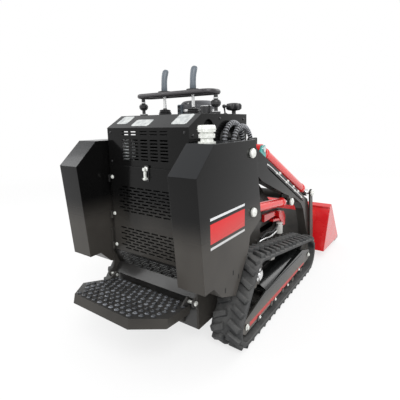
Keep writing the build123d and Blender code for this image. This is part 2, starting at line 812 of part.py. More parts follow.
with BuildPart() as attach_frame:
    with BuildSketch(side_plane(EAR_IN_Y)):
        with BuildLine():
            Polyline(
                on_back(30, 0),
                on_back(320, 0),
                on_back(320, ATTACH_T),
                on_back(30, ATTACH_T),
                close=True,
            )
        make_face()
    extrude(amount=2 * EAR_IN_Y)
    with BuildSketch(side_plane(EAR_IN_Y)):
        with BuildLine():
            Polyline(*ear_outline, close=True)
        make_face()
        with Locations(BUCKET_PIN):
            Circle(36)
        with Locations(TILT_EYE):
            Circle(LINK_R)
        with Locations(BUCKET_PIN):
            Circle(PIN_R + SEAT, mode=Mode.SUBTRACT)
    extrude(amount=PLATE)
    with BuildSketch(side_plane(-(EAR_IN_Y - PLATE))):
        with BuildLine():
            Polyline(*ear_outline, close=True)
        make_face()
        with Locations(BUCKET_PIN):
            Circle(36)
        with Locations(TILT_EYE):
            Circle(LINK_R)
        with Locations(BUCKET_PIN):
            Circle(PIN_R + SEAT, mode=Mode.SUBTRACT)
    extrude(amount=PLATE)
attach_frame.part.label = "attach_frame"
export_step(attach_frame.part, "parts/attach_frame.step")

# Outer links with the bucket pins through the arms' legs
with BuildPart() as bucket_links:
    with BuildSketch(side_plane(TANK_OUT_Y)):
        with BuildLine():
            Polyline(*link_outline, close=True)
        make_face()
        with Locations(BUCKET_PIN):
            Circle(34)
        with Locations(TILT_EYE):
            Circle(LINK_R)
    extrude(amount=PLATE)
    with BuildSketch(side_plane(TANK_OUT_Y + PIN_HEAD_T)):
        with Locations(BUCKET_PIN, TILT_EYE):
            Circle(PIN_HEAD_R)
    extrude(amount=PIN_HEAD_T)
    with BuildSketch(side_plane(TANK_OUT_Y)):
        with Locations(BUCKET_PIN):
            Circle(PIN_R)
    extrude(amount=TANK_OUT_Y - EAR_IN_Y + PLATE)
    mirror(about=Plane.XZ)
bucket_links.part.label = "bucket_links"
export_step(bucket_links.part, "parts/bucket_links.step")

# Lock levers of the attach frame
with BuildPart() as lock_levers:
    with BuildSketch(side_plane(EAR_IN_Y - PLATE)):
        with BuildLine():
            Polyline((698, 430), (716, 440), on_back(300, ATTACH_T), on_back(265, ATTACH_T), close=True)
        make_face()
    extrude(amount=10)
    mirror(about=Plane.XZ)
lock_levers.part.label = "lock_levers"
export_step(lock_levers.part, "parts/lock_levers.step")

# Stand-on platform: a tilted pan with a skirt
slope_run = hypot(PLATFORM_FRONT_X - PLATFORM_REAR_X, PLATFORM_FRONT_Z - PLATFORM_REAR_Z)
platform_plane = Plane(
    origin=(PLATFORM_REAR_X, 0, PLATFORM_REAR_Z),
    x_dir=(PLATFORM_FRONT_X - PLATFORM_REAR_X, 0, PLATFORM_FRONT_Z - PLATFORM_REAR_Z),
    z_dir=(PLATFORM_REAR_Z - PLATFORM_FRONT_Z, 0, PLATFORM_FRONT_X - PLATFORM_REAR_X),
)
platform_outline = [
    (0, 195),
    (128, 308),
    (slope_run - 10, 276),
    (slope_run - 10, -276),
    (128, -308),
    (0, -195),
]
SKIRT_H = 46.0
SKIRT_T = 5.0
with BuildPart() as platform:
    with BuildSketch(platform_plane):
        with BuildLine():
            Polyline(*platform_outline, close=True)
        make_face()
    extrude(amount=-SKIRT_H)
    with BuildSketch(platform_plane.offset(-SKIRT_T)):
        with BuildLine():
            Polyline(*platform_outline, close=True)
        make_face()
        offset(amount=-SKIRT_T, mode=Mode.REPLACE)
    extrude(amount=-SKIRT_H, mode=Mode.SUBTRACT)
platform.part.label = "platform"
export_step(platform.part, "parts/platform.step")

# Two bracket arms that carry the platform from the rear plate
tilt = (PLATFORM_REAR_Z - PLATFORM_FRONT_Z) / (PLATFORM_FRONT_X - PLATFORM_REAR_X)


def under_platform(x, drop):
    return PLATFORM_REAR_Z - tilt * (x - PLATFORM_REAR_X) - drop


with BuildPart() as platform_brackets:
    with BuildSketch(side_plane(225)):
        with BuildLine():
            Polyline(
                (REAR_X, 140),
                (REAR_X, 200),
                (-860, under_platform(-860, 50)),
                (-860, under_platform(-860, SKIRT_T + 0.4)),
                (-1040, under_platform(-1040, SKIRT_T + 0.4)),
                (-1040, under_platform(-1040, 40)),
                (-900, 190),
                close=True,
            )
        make_face()
    extrude(amount=40)
    mirror(about=Plane.XZ)
platform_brackets.part.label = "platform_brackets"
export_step(platform_brackets.part, "parts/platform_brackets.step")

# Rear door with staggered slots, hinged at its left edge
HINGE_X = -839.0
HINGE_Y = 284.0
HINGE_R = 9.0
HINGE_ZS = (462.0, 649.0, 862.0)
DOOR_X = -835.0
DOOR_T = 5.0
DOOR_LEFT_Y = 272.0
DOOR_RIGHT_Y = -278.0
GRILLE_COLUMNS = 7
GRILLE_PITCH_Y = 60.0
GRILLE_PITCH_Z = 17.0
GRILLE_SLOT_L = 46.0
GRILLE_SLOT_H = 8.0
# lowest row, rows
GRILLES = ((466.0, 8), (686.0, 9))

with BuildPart() as rear_door:
    with BuildSketch(Plane.YZ.offset(DOOR_X)):
        with Locations(((DOOR_LEFT_Y + DOOR_RIGHT_Y) / 2, (HOOD_BASE_Z + DOOR_TOP_Z) / 2)):
            Rectangle(DOOR_LEFT_Y - DOOR_RIGHT_Y, DOOR_TOP_Z - HOOD_BASE_Z)
        for low_z, rows in GRILLES:
            for row in range(rows):
                shift = GRILLE_PITCH_Y / 4 * (1 if row % 2 else -1)
                with Locations((shift, low_z + row * GRILLE_PITCH_Z)):
                    with GridLocations(GRILLE_PITCH_Y, 0, GRILLE_COLUMNS, 1):
                        Rectangle(GRILLE_SLOT_L, GRILLE_SLOT_H, mode=Mode.SUBTRACT)
    extrude(amount=DOOR_T)
    for hinge_z in HINGE_ZS:
        with BuildSketch(Plane.XY.offset(hinge_z + SEAT)):
            with Locations((HINGE_X, HINGE_Y)):
                Circle(HINGE_R)
            with Locations((DOOR_X + DOOR_T / 2, (DOOR_LEFT_Y + HINGE_Y) / 2)):
                Rectangle(DOOR_T, HINGE_Y - DOOR_LEFT_Y)
        extrude(amount=20)
rear_door.part.label = "rear_door"
export_step(rear_door.part, "parts/rear_door.step")

with BuildPart() as door_hinges:
    for hinge_z in HINGE_ZS:
        with BuildSketch(Plane.XY.offset(hinge_z - 20)):
            with Locations((HINGE_X, HINGE_Y)):
                Circle(HINGE_R)
            with Locations((HINGE_X + 29, HOOD_Y + 3)):
                Rectangle(58, 6)
        extrude(amount=20)
door_hinges.part.label = "door_hinges"
export_step(door_hinges.part, "parts/door_hinges.step")

with BuildPart() as door_latch:
    with BuildSketch(Plane.YZ.offset(DOOR_X - 8)):
        with Locations((-12, 900)):
            Rectangle(24, 56)
    extrude(amount=8)
door_latch.part.label = "door_latch"
export_step(door_latch.part, "parts/door_latch.step")

# Hand bar on two posts
BAR_X = -561.0
BAR_Z = 1325.0
BAR_Y = 265.0
BAR_R = 13.0
BAR_W = 110.0
with BuildPart() as hand_bar:
    with BuildSketch(Plane.XY.offset(BAR_Z - BAR_R)):
        with Locations((BAR_X, 0)):
            RectangleRounded(BAR_W + 2 * BAR_R, 2 * BAR_Y + 2 * BAR_R, 45 + BAR_R)
            RectangleRounded(BAR_W - 2 * BAR_R, 2 * BAR_Y - 2 * BAR_R, 45 - BAR_R, mode=Mode.SUBTRACT)
    extrude(amount=2 * BAR_R)
    fillet(hand_bar.faces().filter_by(Axis.Z).edges(), BAR_R - 1)
hand_bar.part.label = "hand_bar"
export_step(hand_bar.part, "parts/hand_bar.step")

with BuildPart() as bar_posts:
    with BuildSketch(Plane.XY.offset(HOOD_TOP_Z)):
        with Locations((BAR_X, BAR_Y), (BAR_X, -BAR_Y)):
            Circle(17)
    extrude(amount=30)
    with BuildSketch(Plane.XY.offset(HOOD_TOP_Z + 30)):
        with Locations((BAR_X, BAR_Y), (BAR_X, -BAR_Y)):
            Circle(11)
    extrude(amount=BAR_Z - BAR_R - SEAT - HOOD_TOP_Z - 30)
bar_posts.part.label = "bar_posts"
export_step(bar_posts.part, "parts/bar_posts.step")

# Drive levers: boot, shaft with disc, grip
LEVER_Y = 105.0
LEVER_X = -545.0
DISC_Z = BAR_Z + BAR_R + 2
with BuildPart() as lever_boots:
    with BuildSketch(Plane.XY.offset(HOOD_TOP_Z)):
        with Locations((LEVER_X, LEVER_Y), (LEVER_X, -LEVER_Y)):
            Circle(42)
    extrude(amount=42, taper=20)
lever_boots.part.label = "lever_boots"
export_step(lever_boots.part, "parts/lever_boots.step")

with BuildPart() as levers:
    with BuildSketch(Plane.XY.offset(HOOD_TOP_Z + 42)):
        with Locations((LEVER_X, LEVER_Y), (LEVER_X, -LEVER_Y)):
            Circle(9)
    extrude(amount=DISC_Z - HOOD_TOP_Z - 42)
    with BuildSketch(Plane.XY.offset(DISC_Z)):
        with Locations((LEVER_X, LEVER_Y), (LEVER_X, -LEVER_Y)):
            Circle(36)
    extrude(amount=8)
levers.part.label = "levers"
export_step(levers.part, "parts/levers.step")

with BuildPart() as lever_grips:
    with BuildSketch(Plane.XY.offset(DISC_Z + 8)):
        with Locations((LEVER_X, LEVER_Y), (LEVER_X, -LEVER_Y)):
            Circle(19)
    extrude(amount=102)
    with BuildSketch(Plane.XY.offset(DISC_Z + 110)):
        with Locations((LEVER_X + 8, LEVER_Y), (LEVER_X + 8, -LEVER_Y)):
            Circle(21)
    extrude(amount=25)
lever_grips.part.label = "lever_grips"
export_step(lever_grips.part, "parts/lever_grips.step")

# Air cleaner behind the controls
with BuildPart() as air_cleaner:
    with BuildSketch(Plane.XY.offset(HOOD_TOP_Z)):
        with Locations((-385, -20)):
            Circle(110)
    extrude(amount=85)
    fillet(air_cleaner.faces().sort_by(Axis.Z)[-1].edges(), 40)
air_cleaner.part.label = "air_cleaner"
export_step(air_cleaner.part, "parts/air_cleaner.step")

# Gauge pod and knob on the hood's right edge
with BuildPart() as gauge:
    with BuildSketch(Plane.XY.offset(HOOD_TOP_Z)):
        with Locations((-560, -200)):
            Circle(30)
    extrude(amount=45)
gauge.part.label = "gauge"
export_step(gauge.part, "parts/gauge.step")

with BuildPart() as knob:
    with BuildSketch(Plane.XY.offset(HOOD_TOP_Z)):
        with Locations((-330, -240)):
            Circle(14)
    extrude(amount=30)
    with BuildSketch(Plane.XY.offset(HOOD_TOP_Z + 30)):
        with Locations((-330, -240)):
            Circle(30)
    extrude(amount=35)
knob.part.label = "knob"
export_step(knob.part, "parts/knob.step")

# Arm stops: red brackets on the chassis sides, ahead of the towers
with BuildPart() as arm_stops:
    with BuildSketch(side_plane(TANK_IN_Y + 40)):
        with BuildLine():
            Polyline((110, 490), (110, 530), (200, 510), (229, 470), (229, 400), (200, 400), close=True)
        make_face()
    extrude(amount=40)
    mirror(about=Plane.XZ)
arm_stops.part.label = "arm_stops"
export_step(arm_stops.part, "parts/arm_stops.step")
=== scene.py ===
from math import asin, atan2, cos, hypot, pi, radians, sin

import bmesh
import bpy
from mathutils import Matrix, Vector


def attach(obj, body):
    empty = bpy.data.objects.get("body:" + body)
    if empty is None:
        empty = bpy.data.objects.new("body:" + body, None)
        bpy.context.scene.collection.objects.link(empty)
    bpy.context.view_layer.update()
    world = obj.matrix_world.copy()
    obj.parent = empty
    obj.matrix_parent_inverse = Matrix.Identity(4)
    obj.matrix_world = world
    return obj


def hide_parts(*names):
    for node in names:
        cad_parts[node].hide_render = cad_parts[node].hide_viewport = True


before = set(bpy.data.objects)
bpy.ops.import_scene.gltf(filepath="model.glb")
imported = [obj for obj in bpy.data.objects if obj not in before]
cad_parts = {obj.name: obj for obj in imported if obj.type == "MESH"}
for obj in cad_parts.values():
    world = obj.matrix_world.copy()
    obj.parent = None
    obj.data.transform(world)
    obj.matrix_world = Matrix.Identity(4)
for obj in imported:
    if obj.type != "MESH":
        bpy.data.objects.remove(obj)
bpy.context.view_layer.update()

# The photograph's viewpoint, behind the machine and to its right, at chest height. The place and
# angles were worked out from the corners of the tanks, hood, tracks, platform and bucket.
CAMERA_PLACE = (-2.019, -1.211, 1.165)
CAMERA_YAW = 34.275          # degrees from straight ahead towards the left
CAMERA_PITCH = -9.676
CAMERA_ROLL = -1.042
PHOTO_PX = 400
FOCAL_PX = 323.193
CENTRE_PX = (209.751, 177.581)
SENSOR_MM = 36


def new_object(name, data):
    made = bpy.data.objects.new(name, data)
    bpy.context.scene.collection.objects.link(made)
    return made


camera = new_object("camera", bpy.data.cameras.new("camera"))
bpy.context.scene.camera = camera
camera.data.sensor_width = SENSOR_MM
camera.data.lens = FOCAL_PX / PHOTO_PX * SENSOR_MM
camera.data.shift_x = 0.5 - CENTRE_PX[0] / PHOTO_PX
camera.data.shift_y = CENTRE_PX[1] / PHOTO_PX - 0.5
camera.location = CAMERA_PLACE
camera.rotation_euler = (
    Matrix.Rotation(radians(CAMERA_YAW - 90), 3, "Z")
    @ Matrix.Rotation(radians(90 + CAMERA_PITCH), 3, "X")
    @ Matrix.Rotation(radians(CAMERA_ROLL), 3, "Z")
).to_euler()


class Field:
    """A value that a node gives, which may vary over the surface; arithmetic on it adds Math nodes."""

    def __init__(self, nodes, socket):
        self.nodes = nodes
        self.socket = socket

    def math(self, operation, first, second=0.0):
        return self.nodes.node("ShaderNodeMath", {"Value": first, "Value_001": second}, operation=operation)

    def __add__(self, other):
        return self.math("ADD", self, other)

    def __radd__(self, other):
        return self.math("ADD", other, self)

    def __sub__(self, other):
        return self.math("SUBTRACT", self, other)

    def __rsub__(self, other):
        return self.math("SUBTRACT", other, self)

    def __mul__(self, other):
        return self.math("MULTIPLY", self, other)

    def __rmul__(self, other):
        return self.math("MULTIPLY", other, self)

    def __truediv__(self, other):
        return self.math("DIVIDE", self, other)

    def __rtruediv__(self, other):
        return self.math("DIVIDE", other, self)

    def __gt__(self, other):
        return self.math("GREATER_THAN", self, other)

    def __abs__(self):
        return self.math("ABSOLUTE", self)

    def between(self, low, high):
        """0 at low, 1 at high, held outside them."""
        sockets = {"Value": self, "From Min": low, "From Max": high}
        return self.nodes.node("ShaderNodeMapRange", sockets, interpolation_type="SMOOTHSTEP")

    def inside(self, low, high):
        """1 from low to high, 0 outside them."""
        return (self > low) * (high - self > 0.0)


class Nodes:
    """A node tree, with one method that adds a node of any type."""

    def __init__(self, tree):
        self.tree = tree

    def node(self, kind, sockets=None, output=0, **settings):
        made = self.tree.nodes.new(kind)
        for name, value in settings.items():
            setattr(made, name, value)
        for name, value in (sockets or {}).items():
            self.feed(made, name, value)
        return Field(self, made.outputs[output])

    def feed(self, made, name, value):
        socket = next(s for s in made.inputs if s.identifier == name)
        if isinstance(value, Field):
            self.tree.links.new(value.socket, socket)
        elif socket.type == "RGBA":
            socket.default_value = (*value, 1.0)
        else:
            socket.default_value = value


# Studio: a plain pale floor and an even white surround, with one large soft lamp above the
# machine's right rear corner and weaker ones on the other sides. Mirrors and glass show it too.
FLOOR_SIZE = 80.0
FLOOR_GREY = 0.86
FLOOR_GLOW = 0.74            # how much of the floor's white the camera sees without its shadow
FLOOR_NEAR, FLOOR_FAR = 2.2, 7.0    # metres out, where the floor fades into the surround
WHITE = (1, 1, 1)
SURROUND = 0.80
LAMP_SIZE = 3.0
LAMPS = (
    # name, place, target, watts
    ("key_lamp", (-3.4, -3.0, 4.2), (-0.2, 0, 0.6), 190),
    ("fill_lamp", (-2.6, 3.6, 3.2), (-0.2, 0, 0.6), 70),
    ("front_lamp", (4.2, -1.6, 3.6), (0.2, 0, 0.5), 90),
)


def seen_directly(nodes):
    """1 where a ray comes from the camera, a mirror or glass."""
    path = nodes.tree.nodes.new("ShaderNodeLightPath")
    rays = [Field(nodes, path.outputs[f"Is {kind} Ray"]) for kind in ("Camera", "Glossy", "Transmission")]
    total = rays[0] + rays[1] + rays[2]
    return total.math("MINIMUM", total, 1.0)


world = bpy.data.worlds.new("surround")
bpy.context.scene.world = world
world.use_nodes = True
surround = Nodes(world.node_tree)
background = world.node_tree.nodes["Background"]
surround.feed(background, "Color", WHITE)
surround.feed(background, "Strength", SURROUND + seen_directly(surround) * (1 - SURROUND))

floor_mesh = bpy.data.meshes.new("studio_floor")
half = FLOOR_SIZE / 2
floor_mesh.from_pydata(
    [(-half, -half, 0), (half, -half, 0), (half, half, 0), (-half, half, 0)], [], [(0, 1, 2, 3)]
)
floor = new_object("studio_floor", floor_mesh)
floor_paint = bpy.data.materials.new("studio_floor")
floor_paint.use_nodes = True
floor_mesh.materials.append(floor_paint)
floor_nodes = Nodes(floor_paint.node_tree)
floor_nodes.tree.nodes.remove(floor_nodes.tree.nodes["Principled BSDF"])
matt = floor_nodes.node("ShaderNodeBsdfDiffuse", {"Color": (FLOOR_GREY,) * 3})
glow = floor_nodes.node("ShaderNodeEmission", {"Color": WHITE, "Strength": 1.0})
floor_place = floor_nodes.node("ShaderNodeTexCoord", output=3)
floor_reach = floor_nodes.node("ShaderNodeVectorMath", {"Vector": floor_place}, 1, operation="LENGTH")
floor_fade = FLOOR_GLOW + floor_reach.between(FLOOR_NEAR, FLOOR_FAR) * (1 - FLOOR_GLOW)
floor_share = seen_directly(floor_nodes) * floor_fade
floor_mix = floor_nodes.node("ShaderNodeMixShader", {"Fac": floor_share, "Shader": matt, "Shader_001": glow})
floor_nodes.feed(floor_nodes.tree.nodes["Material Output"], "Surface", floor_mix)

for lamp_name, place, target, watts in LAMPS:
    lamp = bpy.data.lights.new(lamp_name, "AREA")
    lamp.shape = "DISK"
    lamp.size = LAMP_SIZE
    lamp.energy = watts
    lamp_object = new_object(lamp_name, lamp)
    lamp_object.location = place
    lamp_object.rotation_euler = (Vector(target) - Vector(place)).to_track_quat("-Z", "Y").to_euler()

bpy.context.scene.view_settings.view_transform = "Standard"


# Rubber tracks: endless reinforced rubber belts, moulded with two rows of slanted tread lugs
# outside and guide blocks inside. The rubber is matt and dry, greyer where dust dulls the lugs.
TRACK_IN_Y = 0.339
TRACK_W = 0.180
TRACK_Y = TRACK_IN_Y + TRACK_W / 2
LUG_H = 0.022
BELT_T = 0.022
LUG_PITCH = 0.072
LUG_PHASE = 0.25
LUG_SINK = 0.003
LUG_ROW_Y = 0.047
LUG_SKEW = 26                # degrees from straight across
LUG_ROWS = ((1, 0.0), (-1, 0.5))    # side of the track's middle, shift in pitches
# x, z, radius to the lug tips of the rear idler, the front idler and the sprocket
TRACK_WHEELS = ((-0.661, 0.115, 0.115), (0.349, 0.148, 0.148), (-0.491, 0.330, 0.125))
BELT_STATIONS = 170
# across the belt from its middle, depth under the lug tips
BELT_SECTION = (
    (-0.084, 0.022), (-0.060, 0.0205), (0.060, 0.0205), (0.084, 0.022), (0.0895, 0.026), (0.090, 0.033),
    (0.089, 0.040), (0.084, 0.044), (-0.084, 0.044), (-0.089, 0.040), (-0.090, 0.033), (-0.0895, 0.026),
)


class Finish(Nodes):
    """A material with one Principled shader, and the few patterns that several finishes share."""

    def __init__(self, name, slot, **sockets):
        self.material = bpy.data.materials.new(name)
        self.material.use_nodes = True
        self.slot = slot
        super().__init__(self.material.node_tree)
        self.shader = self.tree.nodes["Principled BSDF"]
        for socket, value in sockets.items():
            self.set(socket.replace("_", " "), value)
        self.place = self.node("ShaderNodeTexCoord", output=3)

    def set(self, socket, value):
        self.feed(self.shader, socket, value)

    def axis(self, index):
        """The x, y or z of the place on the machine, in metres."""
        return self.node("ShaderNodeSeparateXYZ", {"Vector": self.place}, index)

    def facing(self, index):
        """How far the surface faces along x, y or z."""
        normal = self.node("ShaderNodeNewGeometry", output=1)
        return self.node("ShaderNodeSeparateXYZ", {"Vector": normal}, index)

    def noise(self, scale, detail=3.0, roughness=0.5):
        sockets = {"Vector": self.place, "Scale": scale, "Detail": detail, "Roughness": roughness}
        return self.node("ShaderNodeTexNoise", sockets)

    def mix(self, mask, low, high):
        """A colour that goes from low to high with the mask."""
        sockets = {"Factor_Float": mask, "A_Color": low, "B_Color": high}
        return self.node("ShaderNodeMix", sockets, 2, data_type="RGBA")

    def dust(self, low, high, noise, span):
        """Patches that thin out between two heights."""
        return (1 - self.axis(2).between(low, high)) * self.noise(*noise).between(*span)

    def grain(self, low, high, noise, span=None, rough=None):
        """Lets the colour wander between two, and the roughness with it, and gives the pattern."""
        pattern = self.noise(*noise)
        if span:
            pattern = pattern.between(*span)
        self.set("Base Color", self.mix(pattern, low, high))
        if rough:
            self.set("Roughness", rough[0] + pattern * rough[1])
        return pattern

    def bump(self, height, distance, strength=1.0, edge=0.0):
        """Surface relief, with the plate's corners eased by the given radius."""
        sockets = {"Height": height, "Distance": distance, "Strength": strength}
        if edge:
            sockets["Normal"] = self.node("ShaderNodeBevel", {"Radius": edge}, samples=4)
        self.set("Normal", self.node("ShaderNodeBump", sockets))

    def peel(self, edge):
        """The faint orange peel of sprayed enamel."""
        self.bump(self.noise(90, 2), 0.0006, 0.12, edge)


class Growth(Nodes):
    """A Geometry Nodes tree that grows a shape on each point of a mesh."""

    def __init__(self, name):
        super().__init__(bpy.data.node_groups.new(name, "GeometryNodeTree"))
        for way in ("INPUT", "OUTPUT"):
            self.tree.interface.new_socket(name="Geometry", in_out=way, socket_type="NodeSocketGeometry")
        self.entry = self.tree.nodes.new("NodeGroupInput")

    def size(self, name, value=None, kind="NodeSocketFloat"):
        """A named input of the tree."""
        socket = self.tree.interface.new_socket(name=name, in_out="INPUT", socket_type=kind)
        if value is not None:
            socket.default_value = value
        return Field(self, self.entry.outputs[name])

    def vector(self, x, y, z):
        return self.node("ShaderNodeCombineXYZ", {"X": x, "Y": y, "Z": z})

    def circle(self, steps, radius):
        return self.node("GeometryNodeCurvePrimitiveCircle", {"Resolution": steps, "Radius": radius})

    def cylinder(self, steps, radius, depth):
        sockets = {"Vertices": steps, "Radius": radius, "Depth": depth}
        return self.node("GeometryNodeMeshCylinder", sockets)

    def swept(self, path, section):
        return self.node("GeometryNodeCurveToMesh", {"Curve": path, "Profile Curve": section})

    def lifted(self, shape, rise):
        sockets = {"Geometry": shape, "Translation": self.vector(0.0, 0.0, rise)}
        return self.node("GeometryNodeTransform", sockets)

    def join(self, *shapes):
        joined = self.tree.nodes.new("GeometryNodeJoinGeometry")
        for shape in shapes:
            self.tree.links.new(shape.socket, joined.inputs["Geometry"])
        return Field(self, joined.outputs["Geometry"])

    def stand_on_points(self, shape):
        """Sets the shape on every point, by its turn and size, and ends the tree."""
        points = Field(self, self.entry.outputs["Geometry"])
        turn = self.node("GeometryNodeInputNamedAttribute", {"Name": "turn"}, data_type="FLOAT_VECTOR")
        size = self.node("GeometryNodeInputNamedAttribute", {"Name": "size"}, data_type="FLOAT")
        sockets = {"Points": points, "Instance": shape, "Rotation": turn, "Scale": size}
        standing = self.node("GeometryNodeInstanceOnPoints", sockets)
        whole = self.node("GeometryNodeRealizeInstances", {"Geometry": standing})
        finish = self.size("Finish", kind="NodeSocketMaterial")
        painted = self.node("GeometryNodeSetMaterial", {"Geometry": whole, "Material": finish})
        self.tree.links.new(painted.socket, self.tree.nodes.new("NodeGroupOutput").inputs["Geometry"])


def evaluated_mesh(made, crease):
    """The plain mesh of an object with its modifiers, which is then removed."""
    bpy.context.view_layer.update()
    mesh = bpy.data.meshes.new_from_object(made.evaluated_get(bpy.context.evaluated_depsgraph_get()))
    bpy.data.objects.remove(made)
    mesh.shade_smooth()
    mesh.set_sharp_from_angle(angle=radians(crease))
    return mesh


def as_mesh(name, shape, crease):
    """The mesh of a bmesh shape: faces outwards, smooth but for corners over the crease angle."""
    bmesh.ops.recalc_face_normals(shape, faces=shape.faces)
    mesh = bpy.data.meshes.new(name)
    shape.to_mesh(mesh)
    shape.free()
    mesh.shade_smooth()
    mesh.set_sharp_from_angle(angle=radians(crease))
    return mesh


def piece(name, shape, finish, body="chassis", stands_for=(), crease=30):
    """A finished piece that rides on a body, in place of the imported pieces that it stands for."""
    mesh = shape if isinstance(shape, bpy.types.Mesh) else as_mesh(name, shape, crease)
    made = new_object(name, mesh)
    mesh.materials.clear()
    mesh.materials.append(finish.material)
    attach(made, body)
    if stands_for:
        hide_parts(*stands_for)
    return made


def grow(name, growth, rows, finish, body="chassis", rounding=0.0, **sizes):
    """The tree's shape on every row of (place, turn matrix, size), as one plain mesh."""
    points = bpy.data.meshes.new(name)
    points.from_pydata([tuple(place) for place, _, _ in rows], [], [])
    turn = points.attributes.new("turn", "FLOAT_VECTOR", "POINT")
    turn.data.foreach_set("vector", [angle for _, matrix, _ in rows for angle in matrix.to_euler()])
    points.attributes.new("size", "FLOAT", "POINT").data.foreach_set("value", [size for _, _, size in rows])
    seed = new_object(name + "_seed", points)
    modifier = seed.modifiers.new("growth", "NODES")
    modifier.node_group = growth.tree
    values = {key.replace("_", " ").capitalize(): value for key, value in sizes.items()}
    values["Finish"] = finish.material
    for socket in growth.tree.interface.items_tree:
        if socket.in_out == "INPUT" and socket.name in values:
            modifier[socket.identifier] = values[socket.name]
    if rounding:
        bevel = seed.modifiers.new("rounding", "BEVEL")
        bevel.width = rounding
        bevel.segments = 2
        bevel.limit_method = "ANGLE"
        bevel.angle_limit = radians(40)
    return piece(name, evaluated_mesh(seed, 35), finish, body)


def skinned(rings, around=False):
    """A bmesh over rings of places, which run round in a loop or end in a flat face each."""
    shape = bmesh.new()
    rings = [[shape.verts.new(place) for place in ring] for ring in rings]
    for ring, following in zip(rings, rings[1:] + rings[:1] if around else rings[1:]):
        for i in range(len(ring)):
            j = (i + 1) % len(ring)
            shape.faces.new((ring[i], ring[j], following[j], following[i]))
    if not around:
        shape.faces.new(rings[0])
        shape.faces.new(rings[-1])
    return shape


def loop_pieces():
    """Arcs and straight runs of the belt's loop through the lug tips."""
    wheels = TRACK_WHEELS
    normals = []
    for (x0, z0, r0), (x1, z1, r1) in zip(wheels, wheels[1:] + wheels[:1]):
        normals.append(atan2(z1 - z0, x1 - x0) - pi / 2 + asin((r0 - r1) / hypot(x1 - x0, z1 - z0)))
    pieces = []
    for i, (x, z, r) in enumerate(wheels):
        start, end = normals[i - 1], normals[i]
        while end < start:
            end += 2 * pi
        pieces.append(("arc", r * (end - start), x, z, r, start))
        next_x, next_z, next_r = wheels[(i + 1) % len(wheels)]
        tail = Vector((x + r * cos(end), z + r * sin(end)))
        head = Vector((next_x + next_r * cos(end), next_z + next_r * sin(end)))
        pieces.append(("run", (head - tail).length, tail, head, end))
    return pieces


def loop_stations(count, shift=0.0):
    """Evenly spaced places on the loop: x, z and the angle of the outward normal."""
    pieces = loop_pieces()
    whole = sum(run[1] for run in pieces)
    stations = []
    for i in range(count):
        along = (i + shift) * whole / count % whole
        for run in pieces:
            if along <= run[1]:
                break
            along -= run[1]
        if run[0] == "arc":
            _, _, x, z, r, start = run
            angle = start + along / r
            stations.append((x + r * cos(angle), z + r * sin(angle), angle))
        else:
            _, length, tail, head, angle = run
            x, z = tail.lerp(head, along / length)
            stations.append((x, z, angle))
    return stations


lug_tree = Growth("tread_lugs")
lug_length = lug_tree.size("Length", 0.036)
lug_width = lug_tree.size("Width", 0.080)
lug_height = lug_tree.size("Height", LUG_H + LUG_SINK - 0.0022)
lug_lean = lug_tree.size("Lean", 0.24)
lug_size = lug_tree.vector(lug_length, lug_width, lug_height)
lug_block = lug_tree.node("GeometryNodeMeshCube", {"Size": lug_size})
lug_place = lug_tree.node("GeometryNodeInputPosition")
lug_x, lug_y, lug_z = [
    lug_tree.node("ShaderNodeSeparateXYZ", {"Vector": lug_place}, index) for index in range(3)
]
lug_taper = lug_lean * (lug_z > 0.0)
lug_moved = lug_tree.vector(lug_x * (1 - lug_taper), lug_y * (1 - lug_taper * 0.4), lug_z + lug_height / 2.0)
lug_tree.stand_on_points(
    lug_tree.node("GeometryNodeSetPosition", {"Geometry": lug_block, "Position": lug_moved})
)

rubber = Finish("dry_rubber", "rubber")
scuff = rubber.noise(9, 5, 0.65).between(0.40, 0.66)
chalk = scuff * 0.6 + rubber.facing(2).between(0.2, 0.9) * 0.45
rubber.set("Base Color", rubber.mix(chalk, (0.014, 0.015, 0.016), (0.088, 0.088, 0.086)))
rubber.set("Roughness", 0.58 + scuff * 0.25)
rubber.bump(rubber.noise(260, 3, 0.6) + rubber.noise(30, 2) * 0.8, 0.0012, 0.6)

lug_count = round(sum(run[1] for run in loop_pieces()) / LUG_PITCH)
for side, track in ((1, "track_left"), (-1, "track_right")):
    belt = skinned([
        [
            (x - depth * cos(angle), side * TRACK_Y + across, z - depth * sin(angle))
            for across, depth in BELT_SECTION
        ]
        for x, z, angle in loop_stations(BELT_STATIONS)
    ], around=True)
    piece(f"{track}_belt", belt, rubber, stands_for=(track,), crease=35)
    lugs, guides = [], []
    for row, shift in LUG_ROWS:
        for x, z, angle in loop_stations(lug_count, shift + LUG_PHASE):
            out = Vector((cos(angle), 0, sin(angle)))
            ahead = Vector((-sin(angle), 0, cos(angle)))
            lying = Matrix((ahead, out.cross(ahead), out)).transposed()
            skew = Matrix.Rotation(radians(side * row * LUG_SKEW), 3, "Z")
            foot = Vector((x, side * (TRACK_Y + row * LUG_ROW_Y), z)) - out * (LUG_H + LUG_SINK)
            lugs.append((foot, lying @ skew, 1.0))
            if row == 1:
                inner = Vector((x, side * TRACK_Y, z)) - out * (LUG_H + BELT_T - 0.002)
                guides.append((inner, lying @ Matrix.Rotation(pi, 3, "X"), 1.0))
    grow(f"{track}_lugs", lug_tree, lugs, rubber, rounding=0.0035)
    sizes = {"length": 0.030, "width": 0.024, "height": 0.020, "lean": 0.35}
    grow(f"{track}_guides", lug_tree, guides, rubber, rounding=0.002, **sizes)

